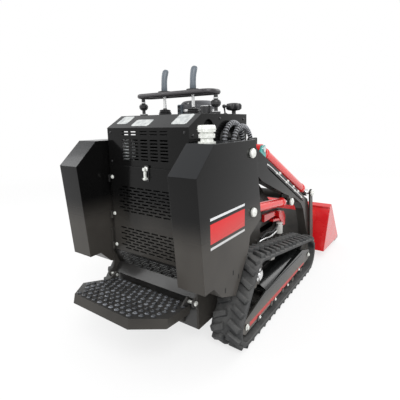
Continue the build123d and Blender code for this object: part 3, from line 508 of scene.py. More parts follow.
# Running gear: cast idlers and rollers with a groove for the belt's guides, and a toothed
# sprocket on the hub of a wheel motor. Steel sprayed matt black, greyed with dust low down.
ACROSS, UP = (0, 1, 0), (0, 0, 1)
WHEEL_W = 0.084
GROOVE_W = 0.032
SPROCKET_X, SPROCKET_Z, SPROCKET_TIP = TRACK_WHEELS[2]
SPROCKET_R = SPROCKET_TIP - LUG_H - BELT_T
SPROCKET_PLATE = 0.012
SPROCKET_PIN_CIRCLE = 0.063
TOOTH_STEPS = 12
TOOTH_DEPTH = 0.015
TEETH = 9
MOTOR_PROFILE = (
    (0, -0.112), (0.052, -0.112), (0.052, -0.02), (0.046, -0.018), (0.046, 0.050), (0.043, 0.053),
    (0, 0.053),
)
HUB_PROFILE = (
    (0, 0), (0.036, 0), (0.036, 0.010), (0.033, 0.013), (0.024, 0.014), (0.022, 0.019), (0, 0.019),
)
HUB_FACE = 0.065             # how far the bolts stand out from the track's middle
HUB_BOLTS = 6
HUB_BOLT_CIRCLE = 0.0285


def angles(count, start=0.0):
    """Evenly spaced angles round a circle."""
    return [2 * pi * k / count + start for k in range(count)]


def facing_out(direction):
    return Vector(direction).to_track_quat("Z", "Y").to_matrix()


def turned(profile, place, axis, steps=48):
    """A bmesh turned about an axis through a place; the profile holds (radius, distance along)."""
    shape = bmesh.new()
    rings = [
        [shape.verts.new((radius * cos(a), radius * sin(a), along)) for a in angles(steps if radius else 1)]
        for radius, along in profile
    ]
    for ring, following in zip(rings, rings[1:]):
        for k in range(steps):
            corners = (
                ring[k % len(ring)], ring[(k + 1) % len(ring)],
                following[(k + 1) % len(following)], following[k % len(following)],
            )
            shape.faces.new(list(dict.fromkeys(corners)))
    turn = Matrix.Translation(place) @ facing_out(axis).to_4x4()
    bmesh.ops.transform(shape, matrix=turn, verts=shape.verts)
    return shape


def rod(radius, start, end):
    """The profile of a plain round bar."""
    return (0, start), (radius, start), (radius, end), (0, end)


def add_to(shape, other):
    """Joins another bmesh into this one."""
    spare = bpy.data.meshes.new("spare")
    other.to_mesh(spare)
    other.free()
    shape.from_mesh(spare)
    bpy.data.meshes.remove(spare)


def verts_in(geometry):
    return [part for part in geometry if isinstance(part, bmesh.types.BMVert)]


def both_sides(shape):
    """The shape with its mirror image on the machine's other side."""
    copy = bmesh.ops.duplicate(shape, geom=shape.verts[:] + shape.edges[:] + shape.faces[:])["geom"]
    for vert in verts_in(copy):
        vert.co.y = -vert.co.y
    return shape


def eased(shape, rounding, segments=2):
    """The shape with rounded edges."""
    bmesh.ops.bevel(shape, geom=shape.edges[:], offset=rounding, segments=segments, affect="EDGES")
    return shape


def side_plate(outline, y_from, y_to, rounding=0.0015):
    """A plate cut to an outline of (x, z) points between two distances from the centre plane."""
    shape = bmesh.new()
    face = shape.faces.new([shape.verts.new((x, y_from, z)) for x, z in outline])
    grown = bmesh.ops.extrude_face_region(shape, geom=[face])["geom"]
    bmesh.ops.translate(shape, vec=(0, y_to - y_from, 0), verts=verts_in(grown))
    return eased(shape, rounding) if rounding else shape


def wheel_profile(radius, groove, hub):
    """The section of a wheel with two treads, a groove between them and dished sides."""
    w, g = WHEEL_W / 2, GROOVE_W / 2
    return (
        (0, -w - 0.002), (hub, -w - 0.002), (hub, -w + 0.012), (radius - 0.022, -w + 0.012),
        (radius - 0.012, -w), (radius - 0.003, -w), (radius, -w + 0.004), (radius, -g - 0.002),
        (groove, -g), (groove, g), (radius, g + 0.002), (radius, w - 0.004),
        (radius - 0.003, w), (radius - 0.012, w), (radius - 0.022, w - 0.012),
        (hub, w - 0.012), (hub, w + 0.002), (0, w + 0.002),
    )


bolt_tree = Growth("fasteners")
bolt_sides = bolt_tree.size("Sides", 6, "NodeSocketInt")
bolt_head = bolt_tree.size("Head", 0.75)
bolt_washer = bolt_tree.size("Washer", 1.45)
bolt_tree.stand_on_points(bolt_tree.join(
    bolt_tree.lifted(bolt_tree.cylinder(bolt_sides, 1.0, bolt_head), bolt_head / 2.0 + 0.2),
    bolt_tree.lifted(bolt_tree.cylinder(20, bolt_washer, 0.24), 0.1),
))


def bolts(name, finish, rows, body="chassis", rounding=0.0006, **sizes):
    """Fasteners at rows of (place, outward direction, head radius)."""
    rows = [(Vector(place), facing_out(direction), size) for place, direction, size in rows]
    grow(name, bolt_tree, rows, finish, body, rounding, **sizes)


def paint_over(finish, *nodes):
    """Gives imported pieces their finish."""
    for node in nodes:
        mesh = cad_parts[node].data
        mesh.materials.clear()
        mesh.materials.append(finish.material)


satin_black = Finish("satin_black_steel", "black_steel")
low_dust = satin_black.dust(0.10, 0.7, (6, 5, 0.6), (0.25, 0.7))
satin_black.set("Base Color", satin_black.mix(low_dust, (0.012, 0.012, 0.013), (0.085, 0.078, 0.068)))
satin_black.set("Roughness", 0.36 + low_dust * 0.35)
satin_black.bump(satin_black.noise(400, 2), 0.0004, 0.5, 0.002)
bright = Finish("plated_steel", "bright_steel", Metallic=1.0)
bright.grain((0.60, 0.61, 0.62), (0.82, 0.82, 0.81), (120,), rough=(0.18, 0.18))
white_cap = Finish("pale_zinc", "bright_steel", Metallic=0.35, Roughness=0.38)
white_cap.grain((0.62, 0.64, 0.60), (0.80, 0.81, 0.78), (90,), (0.3, 0.7))

wheels = bmesh.new()
for x, z, tip in TRACK_WHEELS[:2]:
    rim = tip - LUG_H - BELT_T - 0.0003
    add_to(wheels, turned(wheel_profile(rim, rim - 0.024, 0.030), (x, TRACK_Y, z), ACROSS, 56))
    add_to(wheels, turned(rod(0.014, -0.064, 0.064), (x, TRACK_Y - 0.0035, z), ACROSS, 24))
piece("idler_wheels", both_sides(wheels), satin_black, stands_for=("idlers",))

sprocket_mid = (SPROCKET_X, TRACK_Y, SPROCKET_Z)
tooth_outline = []
for angle in angles(TEETH * TOOTH_STEPS):
    radius = SPROCKET_R - 0.001 - TOOTH_DEPTH * max(0.0, cos(TEETH * angle)) ** 1.5
    tooth_outline.append((SPROCKET_X + radius * cos(angle), SPROCKET_Z + radius * sin(angle)))
toothed = bmesh.new()
for y_from in (TRACK_Y + WHEEL_W / 2 - SPROCKET_PLATE, TRACK_Y - WHEEL_W / 2):
    add_to(toothed, side_plate(tooth_outline, y_from, y_from + SPROCKET_PLATE, 0))
for angle in angles(TEETH, pi / TEETH):
    spot = Vector(sprocket_mid) + Vector((cos(angle), 0, sin(angle))) * SPROCKET_PIN_CIRCLE
    add_to(toothed, turned(rod(0.009, -0.035, 0.035), spot, ACROSS, 16))
add_to(toothed, turned(MOTOR_PROFILE, sprocket_mid, ACROSS))
piece("toothed_sprockets", both_sides(toothed), satin_black, stands_for=("sprockets",))
hubs = turned(HUB_PROFILE, (SPROCKET_X, TRACK_Y + 0.052, SPROCKET_Z), ACROSS)
piece("sprocket_hubs", both_sides(hubs), bright)
hub_rows = []
for side in (1, -1):
    turn = facing_out((0, side, 0))
    hub_mid = Vector((SPROCKET_X, side * (TRACK_Y + HUB_FACE), SPROCKET_Z))
    for a in angles(HUB_BOLTS):
        spot = hub_mid + turn @ Vector((cos(a), sin(a), 0)) * HUB_BOLT_CIRCLE
        hub_rows.append((spot, (0, side, 0), 0.0042))
bolts("sprocket_bolts", satin_black, hub_rows, washer=1.1)
paint_over(satin_black, "rollers", "chassis_floor", "engine", "attach_frame", "platform_brackets")

# Track frames: welded steel channels, enamelled black, with a sloping roof that sheds earth and a
# red stripe along the outer plate. Each axle ends in a nut, and a block carries the belt's top run.
FRAME_OUT_Y = 0.498
STRIPE_Z = (0.094, 0.118)
STRIPE_X = (-0.62, 0.26)
ROOF_X = (-0.415, 0.215)
ROOF_SECTION = (
    (0.498, 0.200), (0.498, 0.206), (0.440, 0.241), (0.369, 0.241), (0.369, 0.235), (0.438, 0.235),
)
ROLLER_X = (-0.505, -0.286, -0.077, 0.141)
CARRIER_SHARE = 0.78         # of the way along the belt's top run
CARRIER_OUTLINE = ((-0.032, -0.014), (0.032, -0.014), (0.026, 0.016), (-0.026, 0.016))


def on_flanks(places, y, size):
    """Rows of fasteners at (x, z) places on both of the machine's flanks."""
    return [((x, side * y, z), (0, side, 0), size) for side in (1, -1) for x, z in places]


frame_enamel = Finish(
    "frame_enamel", "black_paint", Coat_Weight=0.1, Coat_Roughness=0.12, Specular_IOR_Level=0.25
)
# Warm grey-brown low on the frames: dust, and a painted reflection of the ground.
frame_dust_and_ground_reflection = frame_enamel.dust(0.10, 0.205, (7, 4, 0.6), (0.1, 0.6))
stripe = frame_enamel.axis(2).inside(*STRIPE_Z) * frame_enamel.axis(0).inside(*STRIPE_X)
stripe = stripe * (abs(frame_enamel.axis(1)) > FRAME_OUT_Y - 0.0006)
frame_base = frame_enamel.mix(frame_dust_and_ground_reflection, (0.008, 0.009, 0.009), (0.120, 0.108, 0.094))
frame_red = frame_enamel.mix(frame_dust_and_ground_reflection * 0.5, (0.52, 0.018, 0.020), (0.30, 0.08, 0.07))
frame_enamel.set("Base Color", frame_enamel.mix(stripe, frame_base, frame_red))
frame_enamel.set("Roughness", 0.22 + frame_dust_and_ground_reflection * 0.3)
frame_enamel.peel(0.002)
paint_over(frame_enamel, "track_frames")

roof = eased(skinned([[(x, y, z) for y, z in ROOF_SECTION] for x in ROOF_X]), 0.001, 1)
piece("frame_roofs", both_sides(roof), frame_enamel)
nut_rows = on_flanks([(x, 0.088 + max(0, x) * 0.15) for x in ROLLER_X], FRAME_OUT_Y + 0.0035, 0.0065)
nut_rows += on_flanks([(x, z) for x, z, _ in TRACK_WHEELS[:2]], FRAME_OUT_Y + 0.004, 0.011)
bolts("axle_nuts", white_cap, nut_rows, rounding=0.0012)
_, _, run_tail, run_head, run_angle = loop_pieces()[3]
run_dir = (run_head - run_tail).normalized()
run_in = Vector((-cos(run_angle), -sin(run_angle)))
carrier_mid = run_tail.lerp(run_head, CARRIER_SHARE) + run_in * (LUG_H + BELT_T + 0.016)
carrier_outline = [tuple(carrier_mid + run_dir * a + run_in * b) for a, b in CARRIER_OUTLINE]
carriers = side_plate(carrier_outline, 0.380, 0.486, 0.003)
add_to(carriers, turned(rod(0.012, 0.0, 0.070), (carrier_mid.x, 0.316, carrier_mid.y), ACROSS, 20))
carrier_grey = Finish("worn_steel", "bright_steel", Metallic=0.6, Roughness=0.5)
carrier_grey.grain((0.20, 0.20, 0.19), (0.42, 0.41, 0.39), (40, 4, 0.6))
piece("belt_carriers", both_sides(carriers), carrier_grey)

# Chassis and body panels: folded and welded sheet steel in gloss black enamel, with a faint orange
# peel, a thin warm grey-brown film low down that is dust and a painted reflection of the ground, and
# paler blue-grey top faces that are a painted reflection of the sky. The slots have a pressed lip on
# their lower edge.
LOUVRE_PITCH_Y = 0.076


def body_enamel(name, dust, low_dust_reflection_colour, sky_reflection_colour):
    """Gloss black enamel, warm grey-brown low down from dust and a painted reflection of the ground, and paler
    blue-grey on top faces as a painted reflection of the sky: the finish, its colour and its mask of low dust
    and ground reflection.
    """
    finish = Finish(name, "black_paint", Coat_Weight=0.1, Coat_Roughness=0.05, Specular_IOR_Level=0.12)
    # Low down the colour warms and pales: dust, and a painted reflection of the ground.
    low_dust_and_ground_reflection = finish.dust(*dust)
    # Top faces turn paler and bluer: a painted reflection of the sky.
    top_sky_reflection_mask = finish.facing(2).between(0.3, 0.95)
    finish.set("Roughness", 0.14 + low_dust_and_ground_reflection * 0.20 + top_sky_reflection_mask * 0.08)
    shade = finish.mix(low_dust_and_ground_reflection, (0.004, 0.004, 0.004), low_dust_reflection_colour)
    return finish, finish.mix(top_sky_reflection_mask * 0.3, shade, sky_reflection_colour), low_dust_and_ground_reflection


# The warm colour is dust with a painted ground reflection; the blue-grey is a painted sky reflection on top
# faces.
body_dust_and_ground_reflection = (0.56, 0.80, (3, 3, 0.5), (0.0, 0.6))
gloss_black, body_shade, _ = body_enamel(
    "gloss_black_enamel", body_dust_and_ground_reflection, (0.042, 0.039, 0.035), (0.045, 0.047, 0.050)
)
gloss_black.set("Base Color", body_shade)
gloss_black.peel(0.0025)
# The rear plate: the black enamel kept darker, without the body's dust and reflections, as painted shade.
rear_plate_painted_shade = Finish("shaded_enamel", "black_paint", Coat_Weight=0.3, Coat_Roughness=0.15)
rear_plate_painted_shade.grain((0.003, 0.003, 0.003), (0.016, 0.015, 0.014), (20,), rough=(0.30, 0.2))
paint_over(rear_plate_painted_shade, "rear_plate")
paint_over(
    gloss_black, "hood", "front_cover", "towers", "chassis_sides", "front_plate", "arms", "arm_cross_pipe",
    "rear_door", "platform", "bucket_links", "door_hinges",
)

# Near-black slots and holes are painted shade, standing for the unlit space inside the openings.
hole_painted_shade = Finish("dark_slots", "black_paint", Roughness=0.8)
hole_painted_shade.grain((0.002, 0.002, 0.002), (0.006, 0.006, 0.006), (80, 2))
# The lips are the black enamel painted lighter grey: a painted highlight along the pressed edges.
lip_painted_highlight = Finish("louvre_edges", "black_paint", Coat_Weight=0.5, Coat_Roughness=0.08)
lip_painted_highlight.grain((0.05, 0.052, 0.055), (0.13, 0.13, 0.125), (30,), (0.3, 0.7), (0.25, 0.2))
louvre_tree = Growth("pressed_louvres")
louvre_size = louvre_tree.vector(
    louvre_tree.size("Length", 0.060), louvre_tree.size("Width", 0.0030), louvre_tree.size("Depth", 0.0050)
)
louvre_tree.stand_on_points(louvre_tree.node("GeometryNodeMeshCube", {"Size": louvre_size}))


def louvres(name, top, low, side, rows, columns, start, pitch, first_y, stagger, width):
    """Rows of near-black slots (painted shade) with lighter lips (painted highlight) down a slope, on the side
    of it that is given as 1 or -1.
    """
    top = Vector(top)
    down = (Vector(low) - top).normalized()
    outward = Vector((down.z, 0, -down.x)) * side
    lying = Matrix((Vector(ACROSS), down, Vector(ACROSS).cross(down))).transposed()
    slots, lips = [], []
    for row in range(rows):
        for column in range(columns):
            y = first_y + column * LOUVRE_PITCH_Y + row % 2 * stagger
            spot = top + down * (start + row * pitch) + Vector((0, y, 0))
            slots.append((spot, lying, 1.0))
            lips.append((spot + down * 0.0055 + outward * 0.0012, lying, 1.0))
    grow(f"{name}_slots", louvre_tree, slots, hole_painted_shade, length=0.062, width=width, depth=0.0010)
    grow(f"{name}_lips", louvre_tree, lips, lip_painted_highlight, rounding=0.0008, depth=0.0035)


louvres(
    "radiator", (-0.829, 0, 0.434), (-0.789, 0, 0.340), side=1, rows=6, columns=7,
    start=0.012, pitch=0.015, first_y=-0.246, stagger=0.012, width=0.0075,
)
louvres(
    "cover", (-0.260, 0, 0.900), (-0.020, 0, 0.700), side=-1, rows=11, columns=6,
    start=0.050, pitch=0.020, first_y=-0.190, stagger=0, width=0.0080,
)

# Side tanks and tower skins: the same enamel, with its low dust and painted ground reflection and its
# painted sky reflection on top, and level bands of red and pale grey round the tank's flank. The tank
# is welded, and its filler has a plated cap.
SKIN_Y = 0.4664
BANDS_X = (-0.930, -0.620)
# lowest, highest, colour
BANDS = (
    (0.618, 0.630, (0.62, 0.63, 0.64)),
    (0.645, 0.735, (0.60, 0.012, 0.016)),
    (0.750, 0.762, (0.62, 0.63, 0.64)),
)
SKIN_SLOTS = ((-0.738, 0.439), (-0.686, 0.400), (-0.812, 0.380))
CAP_PLACE = (-0.835, -0.392, 1.075)
CAP_PROFILE = (
    (0, 0), (0.040, 0), (0.040, 0.006), (0.030, 0.008), (0.028, 0.022), (0.037, 0.024), (0.0375, 0.040),
    (0.031, 0.043), (0.031, 0.048), (0.040, 0.050), (0.041, 0.070), (0.037, 0.078), (0.026, 0.080), (0, 0.080),
)
CAP_RIBS = 22


def oblong(x_low, x_high, z_low, z_high):
    return (x_low, z_low), (x_high, z_low), (x_high, z_high), (x_low, z_high)


# Warm colour low down is dust with a painted ground reflection; blue-grey on top faces is a painted sky
# reflection.
tank_dust_and_ground_reflection = (0.60, 0.78, (3, 3, 0.5), (0.0, 0.55))
tank_enamel, tank_shade, tank_dust_and_reflection_mask = body_enamel(
    "tank_enamel", tank_dust_and_ground_reflection, (0.050, 0.046, 0.041), (0.060, 0.064, 0.070)
)
on_flank = (abs(tank_enamel.axis(1)) > SKIN_Y) * tank_enamel.axis(0).inside(*BANDS_X)
for lowest, highest, band_colour in BANDS:
    band = on_flank * tank_enamel.axis(2).inside(lowest, highest)
    # The bands pale towards grey-brown with the same dust and painted ground reflection.
    band_dusted_and_reflecting = tank_enamel.mix(tank_dust_and_reflection_mask * 0.35, band_colour, (0.20, 0.18, 0.16))
    tank_shade = tank_enamel.mix(band, tank_shade, band_dusted_and_reflecting)
tank_enamel.set("Base Color", tank_shade)
tank_enamel.peel(0.004)
paint_over(tank_enamel, "side_tank_left", "side_tank_right")

# Dark slabs on the skin: painted shade for the slots.
slots = bmesh.new()
for x, z in SKIN_SLOTS:
    slot_outline = oblong(x - 0.0045, x + 0.0045, z - 0.012, z + 0.012)
    add_to(slots, side_plate(slot_outline, SKIN_Y + 0.0004, SKIN_Y + 0.0010, 0))
piece("skin_slots", both_sides(slots), hole_painted_shade)
piece("filler_neck_and_cap", turned(CAP_PROFILE, CAP_PLACE, UP), white_cap, stands_for=("filler_cap",))
rib_rows = []
for angle in angles(CAP_RIBS):
    out = Vector((cos(angle), sin(angle), 0))
    rib_rows.append((Vector(CAP_PLACE) + out * 0.0408 + Vector((0, 0, 0.061)), facing_out(out), 1.0))
grow("cap_ribs", louvre_tree, rib_rows, white_cap, rounding=0.0006, length=0.018, width=0.003, depth=0.003)

# Towers: the inner plate carries the arm's pivot, and its black hook reaches over the foot of the
# tilt cylinder. Pins end in pale caps, each with a grease nipple.
HOOK_OUTLINE = (
    (-0.500, 1.066), (-0.405, 1.057), (-0.402, 1.075), (-0.297, 1.075), (-0.294, 1.066), (-0.294, 1.022),
    (-0.330, 1.000), (-0.430, 0.760),
)
PIN_CAP = (
    (0, 0), (0.0245, 0), (0.0250, 0.003), (0.0245, 0.010), (0.021, 0.0145), (0.014, 0.017), (0.005, 0.0175),
    (0.004, 0.021), (0, 0.0215),
)
piece("tower_hooks", both_sides(side_plate(HOOK_OUTLINE, 0.3655, 0.3765, 0.002)), gloss_black)


def pin_caps(name, places, y, body="chassis"):
    """Caps on the pins at (x, z) places, on both sides."""
    caps = bmesh.new()
    for x, z in places:
        add_to(caps, turned(PIN_CAP, (x, y, z), ACROSS, 32))
    piece(name, both_sides(caps), white_cap, body)


pin_caps("tower_pin_caps", ((-0.549, 1.008), (-0.535, 0.696)), 0.470)
paint_over(white_cap, "tower_pins")
paint_over(bright, "tilt_pins")

# Hydraulic hoses: two reinforced hoses arch from fittings on a shelf inside the right tower, each
# wound with a pale spiral guard. Thin steel lines run from the towers along the arms.
HOSE_R = 0.0125
GUARD_STEP = 0.0165
GUARD_R = 0.0026
FITTING_LOW = 0.945
# y, then x and z of each control point
HOSES = (
    (-0.309, (
        (-0.555, 0.985), (-0.555, 1.050), (-0.540, 1.125), (-0.470, 1.168), (-0.395, 1.150), (-0.348, 1.075),
        (-0.342, 1.000),
    )),
    (-0.342, (
        (-0.517, 0.985), (-0.517, 1.040), (-0.500, 1.105), (-0.430, 1.148), (-0.352, 1.128), (-0.300, 1.055),
        (-0.296, 0.990),
    )),
)


def tube(name, route, radius, order=3):
    """The mesh of a smooth round tube through a NURBS spline of control points."""
    curve = bpy.data.curves.new(name, "CURVE")
    curve.dimensions = "3D"
    spline = curve.splines.new("NURBS")
    spline.points.add(len(route) - 1)
    for point, place in zip(spline.points, route):
        point.co = (*place, 1)
    spline.order_u = order
    spline.use_endpoint_u = True
    spline.resolution_u = 8
    curve.bevel_depth = radius
    curve.bevel_resolution = 3
    curve.use_fill_caps = True
    return evaluated_mesh(new_object(name, curve), 50)


def evenly(route, step):
    """Places a step apart along the route's spline, each with its direction."""
    path = tube("route", route, 0.0)
    places = [vertex.co.copy() for vertex in path.vertices]
    bpy.data.meshes.remove(path)
    rows, left = [], step / 2
    for start, end in zip(places, places[1:]):
        length = (end - start).length
        while left < length:
            rows.append((start.lerp(end, left / length), (end - start).normalized()))
            left += step
        left -= length
    return rows


hose_rubber = Finish("hose_rubber", "rubber", Roughness=0.55)
hose_rubber.grain((0.010, 0.010, 0.011), (0.028, 0.028, 0.029), (150,))
guard_white = Finish("spiral_guard", "grey_plastic", Roughness=0.35)
guard_white.grain((0.26, 0.27, 0.29), (0.46, 0.47, 0.50), (60, 2))
guard_tree = Growth("guard_turns")
guard_path = guard_tree.circle(20, guard_tree.size("Radius", HOSE_R))
guard_section = guard_tree.circle(6, guard_tree.size("Thickness", GUARD_R))
guard_tree.stand_on_points(guard_tree.swept(guard_path, guard_section))
fittings = bmesh.new()
for index, (y, route) in enumerate(HOSES):
    points = [(x, y, z) for x, z in route]
    piece(f"arched_hose_{index + 1}", tube("hose", points, HOSE_R), hose_rubber)
    guard_rows = [(place, facing_out(along), 1.0) for place, along in evenly(points, GUARD_STEP)[2:-2]]
    grow(f"hose_guard_{index + 1}", guard_tree, guard_rows, guard_white)
    for x, _, z in (points[0], points[-1]):
        nut, tip = z - FITTING_LOW - 0.017, z - FITTING_LOW + 0.005
        profile = ((0, 0), (0.017, 0), (0.017, nut), (0.0145, nut + 0.004), (0.0145, tip), (0, tip))
        add_to(fittings, turned(profile, (x, y, FITTING_LOW), UP, 6))
piece("hose_fittings", fittings, bright)
piece("hose_shelf", side_plate(oblong(-0.600, -0.270, 0.937, 0.946), -0.290, -0.3655, 0.001), satin_black)

# Hood top and slope: three bare pale plates are fixed to the slope. Black bolts hold the hood, plated
# bolts the hinges and the door, which closes with an over-centre toggle latch.
SLOPE_FOOT, SLOPE_HEAD = Vector((-0.829, 0, 1.145)), Vector((-0.721, 0, 1.210))
# middle's y, width, lower and upper edge as shares of the slope
PLATES = ((0.205, 0.085, 0.30, 0.92), (0.050, 0.125, 0.12, 0.62), (-0.205, 0.095, 0.22, 0.96))
FLANK_BOLTS = ((-0.800, 1.105), (-0.800, 0.985), (-0.300, 1.180), (-0.300, 1.090), (-0.560, 1.185))
REAR_BOLTS = ((0.262, 1.120), (-0.262, 1.120), (0.262, 0.962), (-0.262, 0.962))
HINGE_Z = (0.462, 0.649, 0.862)
LATCH_Y = -0.012
BOTTLE_X, BOTTLE_Y = -0.765, 0.200


def block(mid, size, rounding, segments=3):
    """A bmesh block with rounded edges."""
    shape = bmesh.new()
    bmesh.ops.create_cube(shape, size=1)
    bmesh.ops.scale(shape, vec=size, verts=shape.verts)
    bmesh.ops.translate(shape, vec=mid, verts=shape.verts)
    return eased(shape, rounding, segments)


slope = SLOPE_HEAD - SLOPE_FOOT
slope_up = slope.normalized()
slope_out = Vector((-slope_up.z, 0, slope_up.x))
pale_plate = Finish("pale_plates", "bright_steel", Roughness=0.35)
pale_plate.grain((0.54, 0.56, 0.55), (0.30, 0.32, 0.33), (35, 4, 0.6), (0.35, 0.75))
plates = bmesh.new()
for y_mid, width, low_share, high_share in PLATES:
    plate = bmesh.new()
    corners = ((-0.5, low_share), (0.5, low_share), (0.5, high_share), (-0.5, high_share))
    plate.faces.new([
        plate.verts.new(SLOPE_FOOT + slope * share + Vector((0, y_mid + dy * width, 0)) + slope_out * 0.0002)
        for dy, share in corners
    ])
    bmesh.ops.bevel(plate, geom=plate.verts[:], offset=0.006, segments=3, affect="VERTICES")
    grown = bmesh.ops.extrude_face_region(plate, geom=plate.faces[:])["geom"]
    bmesh.ops.translate(plate, vec=slope_out * 0.0012, verts=verts_in(grown))
    add_to(plates, plate)
piece("blank_plates", plates, pale_plate)

rear_rows = [((-0.8292, y, z), (-1, 0, 0), 0.005) for y, z in REAR_BOLTS]
bolts("hood_bolts", satin_black, on_flanks(FLANK_BOLTS, 0.2872, 0.0055) + rear_rows)
hinge_rows = [
    ((x, 0.2932, z - 0.010), (0, 1, 0), 0.0045) for z in HINGE_Z for x in (-0.803, -0.781)
] + [((-0.8355, 0.262, z + 0.01), (-1, 0, 0), 0.0075) for z in HINGE_Z]
bolts("hinge_bolts", white_cap, hinge_rows, rounding=0.001, sides=18)

latch_profile = ((0, 0), (0.013, 0), (0.013, 0.006), (0.010, 0.009), (0.009, 0.020), (0, 0.020))
latch = turned(latch_profile, (-0.8395, LATCH_Y, 0.934), (-1, 0, 0), 28)
add_to(latch, block((-0.850, LATCH_Y, 0.904), (0.012, 0.013, 0.040), 0.002, 2))
add_to(latch, block((-0.849, LATCH_Y, 0.884), (0.022, 0.019, 0.012), 0.002, 2))
base = side_plate(oblong(-0.8395, -0.8352, 0.868, 0.952), LATCH_Y - 0.015, LATCH_Y + 0.015, 0.0015)
piece("latch_base", base, satin_black, "door")
piece("toggle_latch", latch, white_cap, "door", ("door_latch",))

bottle = block((BOTTLE_X, BOTTLE_Y, 1.020), (0.074, 0.066, 0.120), 0.012)
bottle_cap = ((0, 0), (0.018, 0), (0.018, 0.016), (0.015, 0.019), (0, 0.019))
add_to(bottle, turned(bottle_cap, (BOTTLE_X, BOTTLE_Y, 1.080), UP, 28))
bottle_white = Finish("bottle_polythene", "grey_plastic", Roughness=0.4)
bottle_white.grain((0.74, 0.78, 0.78), (0.86, 0.88, 0.87), (25, 2))
piece("coolant_bottle", bottle, bottle_white)

# Loader arms: welded box beams in the body's enamel. Bolted clips hold two steel lines on the top
# of each arm's outer face, and pale caps close the pins.
ARM_OUT_Y = 0.447
LINE_R = 0.0040
LINE_BEND = 0.012            # how far a line's ends turn in through the arm's face
# x, inward, z above the line's offset
LINE_ROUTE = (
    (-0.312, LINE_BEND, 0.954), (-0.300, 0, 0.948), (-0.200, 0, 0.896), (0.100, 0, 0.741), (0.300, 0, 0.637),
    (0.345, 0, 0.614), (0.357, LINE_BEND, 0.608),
)
CLIP_X = (-0.180, -0.020, 0.150, 0.290)
EDGE_BOLT_X = (-0.120, 0.020, 0.130, 0.230)


def arm_top(x):
    """Height of the arm's upper edge."""
    return 1.036 - (x + 0.470) * 0.5172


for side, side_name in ((1, "left"), (-1, "right")):
    for offset, finish in ((0.030, bright), (0.044, satin_black)):
        route = [(x, side * (ARM_OUT_Y + 0.0055 - inward), z - offset) for x, inward, z in LINE_ROUTE]
        piece(f"arm_line_{side_name}_{round(offset * 1000)}", tube("line", route, LINE_R, 4), finish, "arms")
clip_rows = on_flanks([(x, arm_top(x) - 0.033) for x in CLIP_X], ARM_OUT_Y + 0.001, 0.008)
edge_rows = on_flanks([(x, arm_top(x) - 0.012) for x in EDGE_BOLT_X], ARM_OUT_Y + 0.0002, 0.0075)
bolts("arm_bolts", white_cap, clip_rows + edge_rows, "arms", rounding=0.001, sides=18, head=0.9)
pin_caps("lift_pin_caps", ((0.079, 0.618),), ARM_OUT_Y + 0.006, "arms")
pin_caps("bucket_pin_caps", ((0.545, 0.190), (0.495, 0.602)), 0.467, "bucket")

# Cylinders: barrels in red enamel with a gland nut at the mouth, chromed rods, and teal clevises
# on the arms for the tilt cylinders.
CYLINDER_Y = 0.416
# name, foot and eye as (x, z), radius of the barrel and of the rod's seal, length of the barrel
CYLINDERS = (
    ("lift", (-0.535, 0.696), (0.079, 0.618), 0.028, 0.0155, 0.545),
    ("tilt", (-0.350, 1.012), (0.495, 0.602), 0.030, 0.0148, 0.826),
)
# step out from the barrel's radius, distance along
GLAND_STEPS = ((-0.004, -0.030), (0.004, -0.030), (0.004, -0.004), (0.001, 0), (-0.006, 0), (-0.006, 0.002))
COLLAR_STEPS = ((0, -0.008), (0.003, -0.007), (0.003, 0.007), (0, 0.008))
COLLAR_ALONG = 0.075


def enamel(name, slot, low_colour, high_colour):
    """A gloss enamel that has faded a little in patches."""
    finish = Finish(name, slot, Coat_Weight=0.5, Coat_Roughness=0.08)
    finish.grain(low_colour, high_colour, (5, 4, 0.5), (0.35, 0.75), (0.24, 0.12))
    finish.peel(0.0025)
    return finish


gloss_red = enamel("gloss_red_enamel", "red_paint", (0.60, 0.008, 0.010), (0.68, 0.020, 0.016))
teal = enamel("teal_enamel", "teal_paint", (0.020, 0.26, 0.24), (0.045, 0.36, 0.33))
yellow = enamel("yellow_enamel", "yellow_paint", (0.86, 0.50, 0.02), (0.90, 0.62, 0.05))
paint_over(gloss_red, "tilt_barrels", "lift_barrels")
paint_over(bright, "lift_rods", "tilt_rods")
paint_over(teal, "tilt_brackets")
paint_over(yellow, "lock_levers")
for name, foot, eye, barrel_r, seal_r, barrel_end in CYLINDERS:
    foot = Vector((foot[0], CYLINDER_Y, foot[1]))
    run = (Vector((eye[0], CYLINDER_Y, eye[1])) - foot).normalized()
    gland_profile = [(barrel_r + step, along) for step, along in GLAND_STEPS] + [(seal_r, 0.002)]
    collar_profile = [(barrel_r + step, along) for step, along in COLLAR_STEPS]
    gland = turned(gland_profile, foot + run * barrel_end, run, 40)
    add_to(gland, turned(collar_profile, foot + run * COLLAR_ALONG, run, 40))
    piece(f"{name}_glands", both_sides(gland), gloss_red, f"{name}_barrels")

# Bucket: welded plate in red enamel, worn to bare steel at the cutting edge, with side cutters along
# its cheeks' front edges and a stiffening bar along the top.
BUCKET_Y = 0.536
CUTTER_OUTLINE = ((0.884, 0.424), (1.178, 0.050), (1.168, 0.040), (1.100, 0.040), (0.828, 0.404))
TOP_BAR_OUTLINE = ((0.822, 0.4035), (0.880, 0.4205), (0.874, 0.436), (0.817, 0.419))
BLADE_OUTLINE = ((1.060, 0.0475), (1.178, 0.0421), (1.168, 0.036), (1.060, 0.0365))
BLADE_BOLT_Y = (-0.480, -0.320, -0.160, 0, 0.160, 0.320, 0.480)
bucket_red = Finish("bucket_enamel", "red_paint", Coat_Weight=0.5, Coat_Roughness=0.08)
patch = bucket_red.noise(5, 4, 0.5).between(0.35, 0.75)
bare = bucket_red.axis(0) * 0.62 - bucket_red.axis(2) * 0.30 + bucket_red.noise(14, 5, 0.65) * 0.05
bare = bare.between(0.715, 0.735)
red_body = bucket_red.mix(patch, (0.55, 0.006, 0.010), (0.64, 0.016, 0.016))
